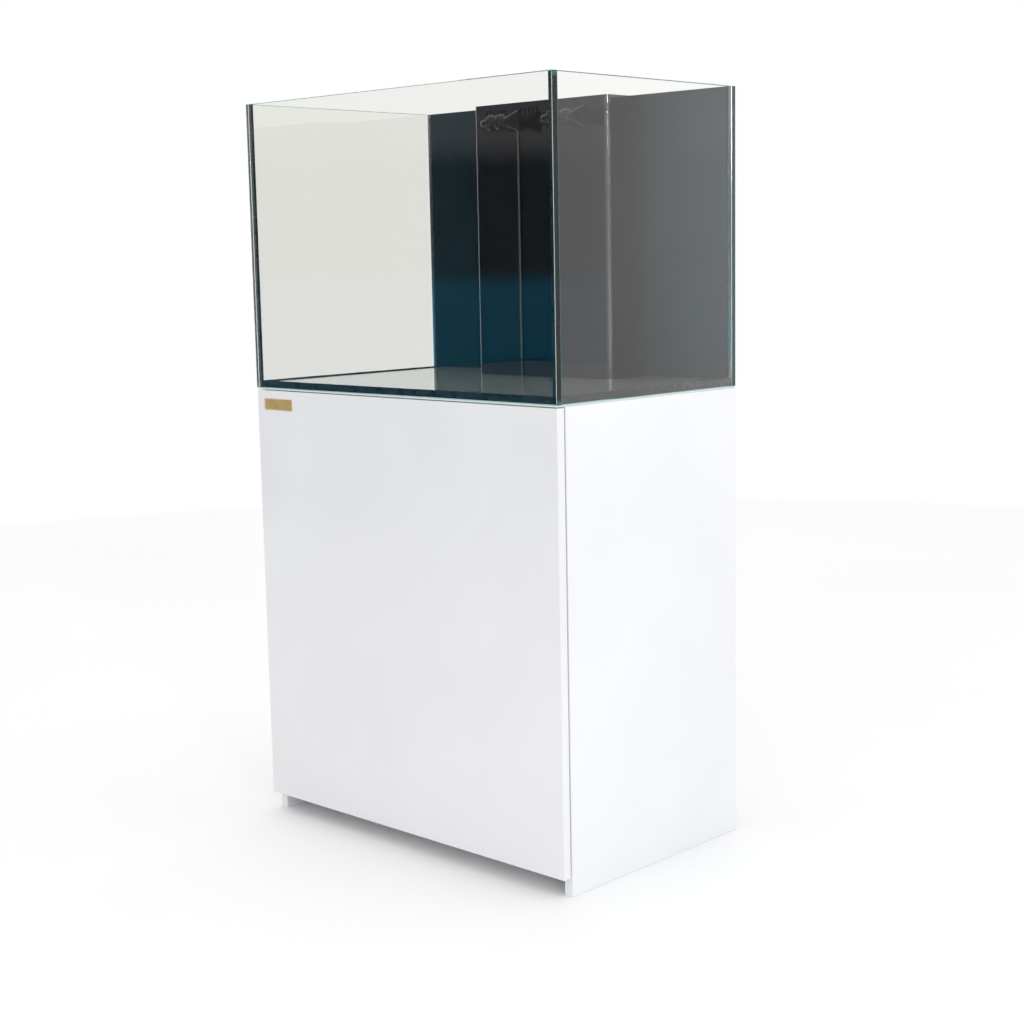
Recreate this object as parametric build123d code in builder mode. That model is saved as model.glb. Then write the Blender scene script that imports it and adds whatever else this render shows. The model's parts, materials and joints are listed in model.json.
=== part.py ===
from build123d import *
import os

# Rimless reef aquarium on a cabinet. Millimetres, +Z up, the door and the tank's front pane face -Y.
# The origin is on the floor, in the middle of the footprint.

# ---------------------------------------------------------------- driving dimensions
width = 800.0
depth = 500.0
stand_height = 861.0
tank_height = 551.0
half_width = width / 2
half_depth = depth / 2
total_height = stand_height + tank_height

# Tank
mat = 3.0
glass = 12.0
seam = 1.0  # silicone between two panes
bead = 2.2  # leg of the silicone bead inside a corner
arris = 0.8  # ground edge of a pane
tank_base = stand_height + mat
tank_floor = tank_base + glass
inner_x = half_width - glass
inner_y = half_depth - glass

# Overflow box of bent acrylic
acrylic = 5.0
overflow_width = 340.0
overflow_depth = 100.0
overflow_middle = 12.0
bend = 9.0
overflow_top = total_height - 7.0
lid = 3.0
overflow_front = inner_y - overflow_depth
overflow_left = overflow_middle - overflow_width / 2
overflow_right = overflow_middle + overflow_width / 2
slot_width = 4.0
slot_length = 24.0
slot_pitch = 10.0
slot_count = 6

# Pipes and bulkheads
pipe = 16.0  # outer radius of the drain pipes
pipe_bore = 13.5
slim_pipe = 12.5  # outer radius of the return riser
slim_bore = 10.0
play = 0.1  # radial room of a push fit
pipe_bend = 30.0
bulkhead_y = inner_y - 40.0
drain_x, emergency_x, return_x = -105.0, 0.0, 105.0
bulkhead_spots = [(drain_x, bulkhead_y), (emergency_x, bulkhead_y), (return_x, bulkhead_y)]
thread = 21.0
flange = 30.0
flange_height = 7.0
gasket = 2.0
nut_height = 14.0
socket_depth = 12.0  # of the push sockets inside a bulkhead
drain_top = 1300.0
emergency_top = total_height - 32.0
strainer_radius = pipe + 4.5
strainer_overlap = 16.0
strainer_height = 52.0
strainer_slots = 12

# Return outlets in front of the overflow box
outlet_z = total_height - 42.0
outlet_xs = {"left": -110.0, "right": 50.0}
outlet_y = overflow_front - 28.0
ball = 13.0
ball_room = 0.3
cup_wall = 2.6
link_reach = 24.0
neck = 8.5
outlet_bore = 7.0
cup_lip = 5.0
stub_radius = 9.0
stub_bore = 6.5
wall_nut = 15.0  # corner radius of the nut behind the wall, and radius of the collar in front
elbow_radius = 14.0
fan_throat = 18.0  # from the second ball to where the round neck becomes a fan
fan_lip = 50.0

# Cabinet
board = 18.0
door_board = 18.0
door_front = -half_depth + 1.0  # the plate on the door makes up this millimetre
door_back = door_front + door_board
side_front = door_back + 3.0
door_foot = 35.0
door_top = stand_height - 1.5
door_edge = 1.8
plate_x, plate_z = -336.0, door_top - 27.0
plate_width, plate_height, plate_corner = 84.0, 22.0, 2.2
bottom_low = 40.0
bottom_top = bottom_low + board
rail_height = 60.0
side_inner = half_width - board
back_inner = half_depth - board
top_low = stand_height - board

# Concealed hinges: a pin in each cup lies on one line inside the door's left edge
pivot_x = -half_width + 8.0
pivot_y = door_front + 9.5
hinge_heights = [130.0, 447.0, 764.0]
cup_x = pivot_x + 13.0
cup_radius = 17.5
cup_depth = 13.0
cup_wall_thickness = 1.2
pin_radius = 1.2
pin_length = 20.2
eye_radius = 2.2
arm_height = 10.0
hinge_plate = 3.0
hinge_plate_y = side_front + 37.0
screw_spacing = 32.0
screw_head = 4.0
screw_height = 2.0
wing_length, wing_width = 62.0, 24.0

# Push latch, door dots and the cable holes in the back
latch_x = 340.0
latch_z = top_low - 30.0
latch_radius = 5.5
latch_bore = 3.6
latch_collar = 9.0
latch_length = 48.0
plunger_radius = 3.5
plunger_length = 34.0
dot_radius = 5.0
dot_heights = [90.0, 790.0]
hose_hole = 35.0
hose_spots = [(-250.0, 560.0), (250.0, 560.0)]

# Cam locks in the two level boards
cam_radius = 7.5
cam_depth = 12.4

# Sump
pane = 6.0
sump_x = (-330.0, 270.0)
sump_y = (-160.0, 200.0)
sump_top = bottom_top + 360.0
sump_floor_top = bottom_top + pane
baffle_y = (sump_y[0] + pane, sump_y[1] - pane)
sock_x, sock_y = -240.0, 20.0
emergency_drop = (-290.0, 130.0)
tray = 6.0
tray_end = -150.0
sock_hole = 52.0
ring_radius = 60.0
ring_bore = 46.0
ring_height = 7.0
bag_radius = 49.0
bag_wall = 3.0
bag_low = 230.0
baffles = [(-156.0, sump_floor_top, 370.0), (56.0, 110.0, 390.0), (84.0, sump_floor_top, 330.0)]

# Return pump, lying along X
pump_y = 20.0
pump_z = sump_floor_top + 58.0
motor_x = (112.0, 192.0)
volute_x = (192.0, 230.0)
outlet_x = 211.0
motor_radius = 42.0
volute_radius = 47.0
volute_wall = 5.0
inlet_radius = 18.0
socket_radius = 18.5
pump_socket_top = 76.0
shaft_radius = 4.0
shaft_depth = 26.0
impeller_radius = 32.0
blade_length, blade_thickness, blade_count = 24.0, 2.5, 6
cage_radius = 24.0
cage_length = 22.0
cage_wall = 3.5
cradle_length, cradle_width, cradle_height = 60.0, 70.0, 22.0

# Valves
valve_ball = 19.0
valve_body = 27.0
valve_half = 46.0  # from the ball's centre to the end of a socket
valve_socket = 22.0
valve_bore = 12.0
stem = 5.0
stem_boss = 9.0
boss_reach = 32.0
lever_length, lever_width, lever_height = 72.0, 15.0, 9.0
sleeve = 4.0  # wall of a fitting pushed over a pipe
union_radius = 26.0
union_height = 16.0
drain_valve_z = 650.0
return_valve_z = 560.0

os.makedirs("parts", exist_ok=True)


# ---------------------------------------------------------------- helpers
def save(piece, name):
    """Labels a finished piece and writes its STEP file."""
    piece.part.label = name
    export_step(piece.part, f"parts/{name}.step")


def middle(span):
    return (span[0] + span[1]) / 2


def slab(x, y, z, edge=0.0):
    """A flat board or pane between two values on each axis, with all its edges broken by edge."""
    with BuildPart() as made:
        with BuildSketch(Plane.XY.offset(z[0])):
            with Locations((middle(x), middle(y))):
                Rectangle(x[1] - x[0], y[1] - y[0])
        extrude(amount=z[1] - z[0])
        if edge:
            chamfer(made.edges(), edge)
    return made


def tube(points, radius, outer, inner):
    """A pipe along straight runs joined by tangent arcs of one radius."""
    with BuildPart() as made:
        with BuildLine() as path:
            if len(points) == 2:
                Line(*points)
            else:
                FilletPolyline(*points, radius=radius)
        start = Plane(origin=path.line @ 0, z_dir=path.line % 0)
        with BuildSketch(start):
            Circle(outer)
            Circle(inner, mode=Mode.SUBTRACT)
        sweep(path=path.line)
    return made


def rings(spots, z, outer, inner):
    """Equal upright rings between two heights."""
    with BuildPart() as made:
        with BuildSketch(Plane.XY.offset(z[0])):
            with Locations(*spots):
                Circle(outer)
                Circle(inner, mode=Mode.SUBTRACT)
        extrude(amount=z[1] - z[0])
    return made


# ---------------------------------------------------------------- tank
def glass_panes():
    height = (tank_base, total_height)
    front = slab((-half_width, half_width), (-half_depth, -inner_y), height, arris)
    save(front, "front_glass")
    back = slab((-half_width, half_width), (inner_y, half_depth), height, arris)
    save(back, "back_glass")
    side_span = (-inner_y + seam, inner_y - seam)
    left = slab((-half_width, -inner_x), side_span, height, arris)
    save(left, "left_glass")
    right = slab((inner_x, half_width), side_span, height, arris)
    save(right, "right_glass")


def bottom_glass():
    with BuildPart() as bottom:
        with BuildSketch(Plane.XY.offset(tank_base)):
            Rectangle(2 * (inner_x - seam), 2 * (inner_y - seam))
            with Locations(*bulkhead_spots):
                Circle(thread + 1, mode=Mode.SUBTRACT)
        extrude(amount=glass)
    save(bottom, "bottom_glass")


def corner_seams():
    """Silicone between the front and back panes and the side panes, with a bead inside the corner."""
    with BuildPart() as seams:
        for side_x in (-1, 1):
            for side_y in (-1, 1):
                with BuildSketch(Plane.XY.offset(tank_floor + bead)):
                    with BuildLine():
                        Polyline(
                            (side_x * (half_width - arris), side_y * inner_y),
                            (side_x * (inner_x - bead), side_y * inner_y),
                            (side_x * (inner_x - 0.35 * bead), side_y * (inner_y - 0.5 * bead)),
                            (side_x * inner_x, side_y * (inner_y - seam - bead)),
                            (side_x * inner_x, side_y * (inner_y - seam)),
                            (side_x * (half_width - arris), side_y * (inner_y - seam)),
                            close=True,
                        )
                    make_face()
                extrude(amount=total_height - tank_floor - bead - seam)
    return seams


def floor_seam():
    """Silicone round the bottom pane, with a bead on top of it and a step under the corner seams."""
    low, high = tank_base + seam, tank_floor + bead
    with BuildPart() as seams:
        with BuildSketch(Plane.XY.offset(low)):
            Rectangle(2 * inner_x, 2 * inner_y)
            Rectangle(2 * (inner_x - seam), 2 * (inner_y - seam), mode=Mode.SUBTRACT)
        extrude(amount=tank_floor - low)
        with BuildSketch(Plane.XY.offset(tank_floor)):
            Rectangle(2 * inner_x, 2 * inner_y)
            Rectangle(2 * (inner_x - bead), 2 * (inner_y - bead), mode=Mode.SUBTRACT)
            with Locations((overflow_middle, inner_y)):
                Rectangle(overflow_width + 2 * play, 4 * bead, mode=Mode.SUBTRACT)
        extrude(amount=high - tank_floor)
        inner = seams.edges().filter_by(GeomType.LINE).group_by(Axis.Z)[-1]
        rim = [e for e in inner if on_bead(e.center())]
        chamfer(rim, 0.7 * bead)
        for side_x in (-1, 1):
            for side_y in (-1, 1):
                strip_x = side_x * (half_width - arris + inner_x) / 2
                with BuildSketch(Plane.XY.offset(low)):
                    with Locations((strip_x, side_y * (inner_y - seam / 2))):
                        Rectangle(glass - arris, seam)
                extrude(amount=high - low)
    return seams


def on_bead(point):
    """True for a point on the inner upper line of the floor bead."""
    near_side = abs(abs(point.X) - (inner_x - bead)) < 0.01 and abs(point.Y) < inner_y - bead + 0.01
    near_front = abs(point.Y + (inner_y - bead)) < 0.01 and abs(point.X) < inner_x
    return near_side or near_front


def tank_silicone():
    """All the silicone of the tank: one piece in each corner and one round the bottom pane."""
    with BuildPart() as silicone:
        add(corner_seams().part)
        add(floor_seam().part)
    save(silicone, "tank_silicone")


def levelling_mat():
    """Foam under the tank, cut out where the bulkheads come through."""
    with BuildPart() as sheet:
        with BuildSketch(Plane.XY.offset(stand_height)):
            Rectangle(width - 4, depth - 4)
            with Locations((0, bulkhead_y)):
                Rectangle(2 * return_x + 2 * flange + 16, 2 * flange + 8, mode=Mode.SUBTRACT)
        extrude(amount=mat)
    save(sheet, "levelling_mat")


# ---------------------------------------------------------------- overflow box
def overflow_box():
    height = overflow_top - tank_floor
    with BuildPart() as box:
        with BuildSketch(Plane.XY.offset(tank_floor)) as outline:
            with Locations((overflow_middle, inner_y - overflow_depth / 2)):
                Rectangle(overflow_width, overflow_depth)
            fillet(outline.vertices().group_by(Axis.Y)[0], bend)
        extrude(amount=height)
        with BuildSketch(Plane.XY.offset(tank_floor)) as hollow:
            with Locations((overflow_middle, inner_y - overflow_depth / 2 + acrylic)):
                Rectangle(overflow_width - 2 * acrylic, overflow_depth)
            fillet(hollow.vertices().group_by(Axis.Y)[0], bend - acrylic)
        extrude(amount=height, mode=Mode.SUBTRACT)
        weir_z = overflow_top - 8 - slot_length / 2
        with BuildSketch(Plane.XZ.offset(-overflow_front)):
            for group_x in (overflow_left + 62, overflow_left + 146):
                with Locations((group_x, weir_z)):
                    with GridLocations(slot_pitch, 1, slot_count, 1):
                        SlotOverall(slot_length, slot_width, rotation=90)
            for outlet in outlet_xs.values():
                with Locations((outlet, outlet_z)):
                    Circle(9.3)
        extrude(amount=-acrylic, mode=Mode.SUBTRACT)
        for wall_x in (overflow_left, overflow_right - acrylic):
            with BuildSketch(Plane.YZ.offset(wall_x)):
                for group_z in (weir_z, tank_floor + 48):
                    with Locations((inner_y - overflow_depth / 2, group_z)):
                        with GridLocations(slot_pitch, 1, slot_count - 1, 1):
                            SlotOverall(slot_length, slot_width, rotation=90)
            extrude(amount=acrylic, mode=Mode.SUBTRACT)
    save(box, "overflow_box")


def overflow_lid():
    """Flat cover with a finger hole and two locating strips that drop inside the box."""
    with BuildPart() as cover:
        with BuildSketch(Plane.XY.offset(overflow_top)) as outline:
            with Locations((overflow_middle, inner_y - overflow_depth / 2)):
                Rectangle(overflow_width, overflow_depth - 1)
                Circle(11, mode=Mode.SUBTRACT)
            fillet(outline.vertices().group_by(Axis.Y)[0], bend)
        extrude(amount=lid)
        with BuildSketch(Plane.XY.offset(overflow_top)):
            with Locations((overflow_middle, inner_y - overflow_depth / 2)):
                with GridLocations(overflow_width - 2 * acrylic - 8, 1, 2, 1):
                    Rectangle(4, 60)
        extrude(amount=-6)
    save(cover, "overflow_lid")


def bulkheads():
    """Three threaded fittings through the bottom pane: body, rubber ring and lock nut each."""
    foot = tank_base - nut_height - 4
    top = tank_floor + gasket + flange_height + socket_depth
    with BuildPart() as bodies:
        with BuildSketch(Plane.XY.offset(tank_floor + gasket)):
            with Locations(*bulkhead_spots):
                Circle(flange)
        extrude(amount=flange_height)
        chamfer(bodies.edges().group_by(Axis.Z)[-1], 1.5)
        with BuildSketch(Plane.XY.offset(foot)):
            with Locations(*bulkhead_spots):
                Circle(thread)
        extrude(amount=top - foot)
        with BuildSketch(Plane.XY.offset(foot)):
            with Locations(*bulkhead_spots):
                Circle(pipe + play)
        extrude(amount=top - foot, mode=Mode.SUBTRACT)
    save(bodies, "bulkhead_bodies")
    save(rings(bulkhead_spots, (tank_floor, tank_floor + gasket), flange - 1, thread), "bulkhead_gaskets")
    with BuildPart() as nuts:
        with BuildSketch(Plane.XY.offset(tank_base - nut_height)):
            with Locations(*bulkhead_spots):
                RegularPolygon(flange, 8)
        extrude(amount=nut_height)
        chamfer(nuts.edges().group_by(Axis.Z)[0], 1.5)
        with BuildSketch(Plane.XY.offset(tank_base - nut_height)):
            with Locations(*bulkhead_spots):
                Circle(thread)
        extrude(amount=nut_height, mode=Mode.SUBTRACT)
    save(nuts, "bulkhead_nuts")


def standpipes():
    """The slotted main drain and the open emergency drain, which is taller."""
    foot = tank_base + 4
    with BuildPart() as pipes:
        add(rings([bulkhead_spots[0]], (foot, drain_top), pipe, pipe_bore).part)
        add(rings([bulkhead_spots[1]], (foot, emergency_top), pipe, pipe_bore).part)
    save(pipes, "standpipes")
    low = drain_top - strainer_overlap
    with BuildPart() as strainer:
        with BuildSketch(Plane.XY.offset(low)):
            with Locations(bulkhead_spots[0]):
                Circle(strainer_radius)
        extrude(amount=strainer_height)
        fillet(strainer.edges().group_by(Axis.Z)[-1], 3)
        with BuildSketch(Plane.XY.offset(low)):
            with Locations(bulkhead_spots[0]):
                Circle(pipe + play)
        extrude(amount=strainer_height - 4, mode=Mode.SUBTRACT)
        with BuildSketch(Plane.XY.offset(drain_top + 4)):
            with Locations(bulkhead_spots[0]):
                with PolarLocations(pipe + 3, strainer_slots):
                    Rectangle(10, 3)
        extrude(amount=24, mode=Mode.SUBTRACT)
    save(strainer, "standpipe_strainer")


def return_riser():
    """Riser from the third bulkhead, manifold behind the front wall and two stubs through it."""
    manifold_y = overflow_front + acrylic + 19
    route = [
        (return_x, bulkhead_y, tank_base + 4),
        (return_x, bulkhead_y, outlet_z),
        (return_x, manifold_y, outlet_z),
        (outlet_xs["left"], manifold_y, outlet_z),
    ]
    reach = manifold_y - outlet_y - 10
    with BuildPart() as riser:
        with BuildLine() as path:
            FilletPolyline(*route, radius=15)
        start = Plane(origin=path.line @ 0, z_dir=path.line % 0)
        with BuildSketch(start):
            Circle(slim_pipe)
        sweep(path=path.line)
        with BuildSketch(Plane.XY.offset(tank_base + 4)):
            with Locations(bulkhead_spots[2]):
                Circle(pipe)
        extrude(amount=40)
        with BuildSketch(Plane.YZ.offset(outlet_xs["left"])):
            with Locations((manifold_y, outlet_z)):
                Circle(slim_pipe + 1)
        extrude(amount=-14)
        with BuildSketch(Plane.XZ.offset(-manifold_y)):
            for outlet in outlet_xs.values():
                with Locations((outlet, outlet_z)):
                    Circle(stub_radius)
        extrude(amount=reach)
        with BuildSketch(Plane.XZ.offset(-manifold_y)):
            for outlet in outlet_xs.values():
                with Locations((outlet, outlet_z)):
                    Circle(stub_bore)
        extrude(amount=reach, mode=Mode.SUBTRACT)
        with BuildSketch(start):
            Circle(slim_bore)
        sweep(path=path.line, mode=Mode.SUBTRACT)
    save(riser, "return_riser")
    with BuildPart() as nuts:
        with BuildSketch(Plane.XZ.offset(-overflow_front - acrylic)):
            for outlet in outlet_xs.values():
                with Locations((outlet, outlet_z)):
                    RegularPolygon(wall_nut, 6)
                    Circle(stub_radius, mode=Mode.SUBTRACT)
        extrude(amount=-4.5)
    save(nuts, "outlet_nuts")


# ---------------------------------------------------------------- return outlets
def half_profile(x, shaft_end, tail_ball=None):
    """Upper half section of a cup round the ball at x, with its neck, in the outlet's upright plane."""
    cup = ball + ball_room + cup_wall
    with Locations((x, outlet_z)):
        Circle(cup)
    with Locations(((x + shaft_end) / 2, outlet_z)):
        Rectangle(shaft_end - x, 2 * (neck if tail_ball else neck + 1.7))
    if tail_ball:
        with Locations((tail_ball, outlet_z)):
            Circle(ball)
    with Locations((x, outlet_z)):
        Circle(ball + ball_room, mode=Mode.SUBTRACT)
    with Locations((x + 50, outlet_z)):
        Rectangle(100, 2 * outlet_bore, mode=Mode.SUBTRACT)
    with Locations((x - cup_lip - cup / 2, outlet_z)):
        Rectangle(cup, 4 * cup, mode=Mode.SUBTRACT)
    with Locations((x, outlet_z - 50)):
        Rectangle(200, 100, mode=Mode.SUBTRACT)


def rod_y(x, length, radius, mode=Mode.ADD):
    """A round bar or bore from the box's front wall towards the door side."""
    with Locations(Location((x, overflow_front, outlet_z), (90, 0, 0))):
        Cylinder(radius, length, align=(Align.CENTER, Align.CENTER, Align.MIN), mode=mode)


def outlet(side, x):
    """Elbow through the wall, one ball link and a flat fan nozzle that blows along the box."""
    first, second = x + 30, x + 30 + link_reach
    throat, lip = second + fan_throat, second + fan_lip
    axis = Axis((x, outlet_y, outlet_z), (1, 0, 0))
    upright = Plane.XZ.offset(-outlet_y)
    inlet = (x, overflow_front - 6, outlet_z)
    corner = (x, outlet_y, outlet_z)
    with BuildPart() as elbow:
        rod_y(x, 4, wall_nut)
        rod_y(x, 22, 11.5)
        with BuildLine() as path:
            FilletPolyline(inlet, corner, (first, outlet_y, outlet_z), radius=elbow_radius)
        start = Plane(origin=path.line @ 0, z_dir=path.line % 0)
        with BuildSketch(start):
            Circle(neck)
        sweep(path=path.line)
        with Locations(Location((first, outlet_y, outlet_z), (0, 90, 0))):
            Sphere(ball)
        with BuildLine() as water:
            FilletPolyline(inlet, corner, (first + 16, outlet_y, outlet_z), radius=elbow_radius)
        with BuildSketch(start):
            Circle(outlet_bore)
        sweep(path=water.line, mode=Mode.SUBTRACT)
        rod_y(x, 19, stub_radius, Mode.SUBTRACT)
    save(elbow, f"nozzle_elbow_{side}")
    with BuildPart() as link:
        with BuildSketch(upright):
            half_profile(first, second, second)
        revolve(axis=axis)
    save(link, f"nozzle_link_{side}")
    with BuildPart() as fan:
        with BuildSketch(upright):
            half_profile(second, throat)
        revolve(axis=axis)
        with BuildSketch(Plane.YZ.offset(throat)):
            with Locations((outlet_y, outlet_z)):
                RectangleRounded(20.4, 20.4, 9)
        with BuildSketch(Plane.YZ.offset(lip)):
            with Locations((outlet_y, outlet_z)):
                RectangleRounded(13, 44, 6)
        loft()
        with BuildSketch(Plane.YZ.offset(throat)):
            with Locations((outlet_y, outlet_z)):
                RectangleRounded(14, 14, 6)
        with BuildSketch(Plane.YZ.offset(lip)):
            with Locations((outlet_y, outlet_z)):
                RectangleRounded(8, 39, 3.9)
        loft(mode=Mode.SUBTRACT)
    save(fan, f"nozzle_fan_{side}")


# ---------------------------------------------------------------- cabinet
def cabinet_boards():
    span = (side_front, half_depth)
    save(slab((-half_width, -side_inner), span, (0, stand_height), 0.6), "left_side")
    save(slab((side_inner, half_width), span, (0, stand_height), 0.6), "right_side")
    rail = (side_front + 1, side_front + 1 + board)
    with BuildPart() as front_rail:
        with BuildSketch(Plane.XZ.offset(-rail[0])):
            with Locations((0, top_low - rail_height / 2)):
                Rectangle(2 * side_inner, rail_height)
            with Locations((latch_x, latch_z)):
                Circle(latch_radius, mode=Mode.SUBTRACT)
        extrude(amount=-board)
    save(front_rail, "front_rail")
    with BuildPart() as back:
        with BuildSketch(Plane.XZ.offset(-half_depth)):
            with Locations((0, (bottom_low + top_low) / 2)):
                Rectangle(2 * side_inner, top_low - bottom_low)
            with Locations(*hose_spots):
                Circle(hose_hole, mode=Mode.SUBTRACT)
        extrude(amount=board)
    save(back, "back_panel")


def cam_spots():
    return [(side * (side_inner - 34), y) for side in (-1, 1) for y in (-150, 0, 120)]


def top_and_bottom():
    """Both boards take cam locks from below. The top one is open under the bulkheads."""
    with BuildPart() as top:
        with BuildSketch(Plane.XY.offset(top_low)):
            with Locations((0, middle((side_front + 1, half_depth)))):
                Rectangle(2 * side_inner, half_depth - side_front - 1)
            with Locations((0, bulkhead_y)):
                Rectangle(2 * return_x + 2 * flange + 16, 2 * flange + 6, mode=Mode.SUBTRACT)
        extrude(amount=board)
        with BuildSketch(Plane.XY.offset(top_low)):
            with Locations(*cam_spots()):
                Circle(cam_radius + play)
        extrude(amount=cam_depth + 0.6, mode=Mode.SUBTRACT)
    save(top, "cabinet_top")
    with BuildPart() as bottom:
        with BuildSketch(Plane.XY.offset(bottom_low)):
            with Locations((0, middle((side_front + 1, back_inner)))):
                Rectangle(2 * side_inner, back_inner - side_front - 1)
        extrude(amount=board)
        with BuildSketch(Plane.XY.offset(bottom_low)):
            with Locations(*cam_spots()):
                Circle(cam_radius + play)
        extrude(amount=cam_depth + 0.6, mode=Mode.SUBTRACT)
    save(bottom, "cabinet_bottom")
    with BuildPart() as cams:
        for low in (top_low, bottom_low):
            with BuildSketch(Plane.XY.offset(low + 0.4)):
                with Locations(*cam_spots()):
                    Circle(cam_radius)
            extrude(amount=cam_depth)
            with BuildSketch(Plane.XY.offset(low + 0.4)):
                with Locations(*cam_spots()):
                    Rectangle(9, 1.6)
                    Rectangle(1.6, 9)
            extrude(amount=3, mode=Mode.SUBTRACT)
    save(cams, "cam_locks")


def door():
    with BuildPart() as leaf:
        with BuildSketch(Plane.XZ.offset(-door_front)):
            with Locations((0, middle((door_foot, door_top)))):
                Rectangle(width, door_top - door_foot)
        extrude(amount=-door_board)
        fillet(leaf.edges(), door_edge)
        with BuildSketch(Plane.XZ.offset(-door_back)):
            for z in hinge_heights:
                with Locations((cup_x, z)):
                    Circle(cup_radius + play)
        extrude(amount=cup_depth + 0.3, mode=Mode.SUBTRACT)
    save(leaf, "door")
    with BuildPart() as plate:
        with BuildSketch(Plane.XZ.offset(-door_front)):
            with Locations((plate_x, plate_z)):
                RectangleRounded(plate_width, plate_height, plate_corner)
        extrude(amount=1)
        chamfer(plate.edges().group_by(Axis.Y)[0], 0.35)
    save(plate, "badge_plate")


def hinge_cups():
    """Cups sunk in the door, each with a rim, two wings and the pin that its arm turns on."""
    with BuildPart() as cups:
        for z in hinge_heights:
            with BuildSketch(Plane.XZ.offset(-door_back)):
                with Locations((cup_x, z)):
                    Circle(cup_radius)
            extrude(amount=cup_depth)
            with BuildSketch(Plane.XZ.offset(-door_back)):
                with Locations((cup_x + 3, z)):
                    SlotOverall(wing_length, wing_width, rotation=90)
                with Locations((cup_x, z)):
                    Circle(cup_radius)
            extrude(amount=-cup_wall_thickness)
            with BuildSketch(Plane.XZ.offset(-door_back - cup_wall_thickness)):
                with Locations((cup_x, z)):
                    Circle(cup_radius - cup_wall_thickness)
            extrude(amount=cup_depth, mode=Mode.SUBTRACT)
            with BuildSketch(Plane.XY.offset(z - pin_length / 2)):
                with Locations((pivot_x, pivot_y)):
                    Circle(pin_radius)
            extrude(amount=pin_length)
    save(cups, "hinge_cups")


def arm_outline():
    """From the eye on the pin along the cup's floor, out of its mouth and back along the side board."""
    floor_y = pivot_y - eye_radius
    neck_x = pivot_x + 12
    reach_x = neck_x + 3.5
    inner_face = -side_inner + hinge_plate
    Polyline(
        (pivot_x, floor_y),
        (reach_x, floor_y),
        (reach_x, side_front),
        (inner_face + 12, side_front + 22),
        (inner_face + 12, side_front + 66),
        (inner_face, side_front + 66),
        (inner_face, side_front + 12),
        (neck_x, side_front + 4),
        (neck_x, pivot_y + 0.8),
        (pivot_x, pivot_y + 0.8),
        close=True,
    )


def screw_spots():
    half = screw_spacing / 2
    return [(hinge_plate_y, z + side * half) for z in hinge_heights for side in (-1, 1)]


def hinge_arms():
    with BuildPart() as arms:
        for z in hinge_heights:
            with BuildSketch(Plane.XY.offset(z - arm_height / 2)):
                with BuildLine():
                    arm_outline()
                make_face()
                with Locations((pivot_x, pivot_y)):
                    Circle(eye_radius)
                    Circle(pin_radius + play, mode=Mode.SUBTRACT)
            extrude(amount=arm_height)
            with BuildSketch(Plane.YZ.offset(-side_inner)):
                with Locations((hinge_plate_y, z)):
                    RectangleRounded(36, 46, 6)
            extrude(amount=hinge_plate)
    save(arms, "hinge_arms")
    head_x = -side_inner + hinge_plate
    with BuildPart() as screws:
        with BuildSketch(Plane.YZ.offset(head_x)):
            with Locations(*screw_spots()):
                Circle(screw_head)
        extrude(amount=screw_height)
        with BuildSketch(Plane.YZ.offset(head_x + screw_height)):
            with Locations(*screw_spots()):
                Rectangle(5, 1)
                Rectangle(1, 5)
        extrude(amount=-1, mode=Mode.SUBTRACT)
    save(screws, "hinge_screws")


def push_latch():
    """Spring plunger in a sleeve through the front rail, and two soft dots on the closing side."""
    with BuildPart() as sleeve:
        with BuildSketch(Plane.XZ.offset(-side_front - 0.2)):
            with Locations((latch_x, latch_z)):
                Circle(latch_collar)
        extrude(amount=-0.8)
        with BuildSketch(Plane.XZ.offset(-side_front - 1)):
            with Locations((latch_x, latch_z)):
                Circle(latch_radius)
        extrude(amount=-latch_length)
        with BuildSketch(Plane.XZ.offset(-side_front)):
            with Locations((latch_x, latch_z)):
                Circle(latch_bore)
        extrude(amount=8 - latch_length, mode=Mode.SUBTRACT)
    save(sleeve, "latch_sleeve")
    with BuildPart() as plunger:
        with BuildSketch(Plane.XZ.offset(-door_back - 0.3)):
            with Locations((latch_x, latch_z)):
                Circle(plunger_radius)
        extrude(amount=-plunger_length)
        fillet(plunger.edges().group_by(Axis.Y)[0], 0.8)
    save(plunger, "latch_plunger")
    with BuildPart() as bumpers:
        with BuildSketch(Plane.XZ.offset(-side_front)):
            for z in dot_heights:
                with Locations((side_inner + board / 2, z)):
                    Circle(dot_radius)
        extrude(amount=2.6)
        fillet(bumpers.edges().group_by(Axis.Y)[0], 1.2)
    save(bumpers, "door_bumpers")


# ---------------------------------------------------------------- sump
def sump_panes():
    height = (bottom_top, sump_top)
    with BuildPart() as long_panes:
        add(slab(sump_x, (sump_y[0], sump_y[0] + pane), height, 0.6).part)
        add(slab(sump_x, (sump_y[1] - pane, sump_y[1]), height, 0.6).part)
    save(long_panes, "sump_long_panes")
    with BuildPart() as end_panes:
        add(slab((sump_x[0], sump_x[0] + pane), baffle_y, height, 0.6).part)
        add(slab((sump_x[1] - pane, sump_x[1]), baffle_y, height, 0.6).part)
    save(end_panes, "sump_end_panes")
    floor_x = (sump_x[0] + pane, sump_x[1] - pane)
    save(slab(floor_x, baffle_y, (bottom_top, sump_floor_top)), "sump_floor")
    with BuildPart() as plates:
        for x, low, high in baffles:
            with BuildSketch(Plane.XY.offset(low)):
                with Locations((x + pane / 2, middle(baffle_y))):
                    Rectangle(pane, baffle_y[1] - baffle_y[0])
            extrude(amount=high - low)
    save(plates, "sump_baffles")


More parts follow.
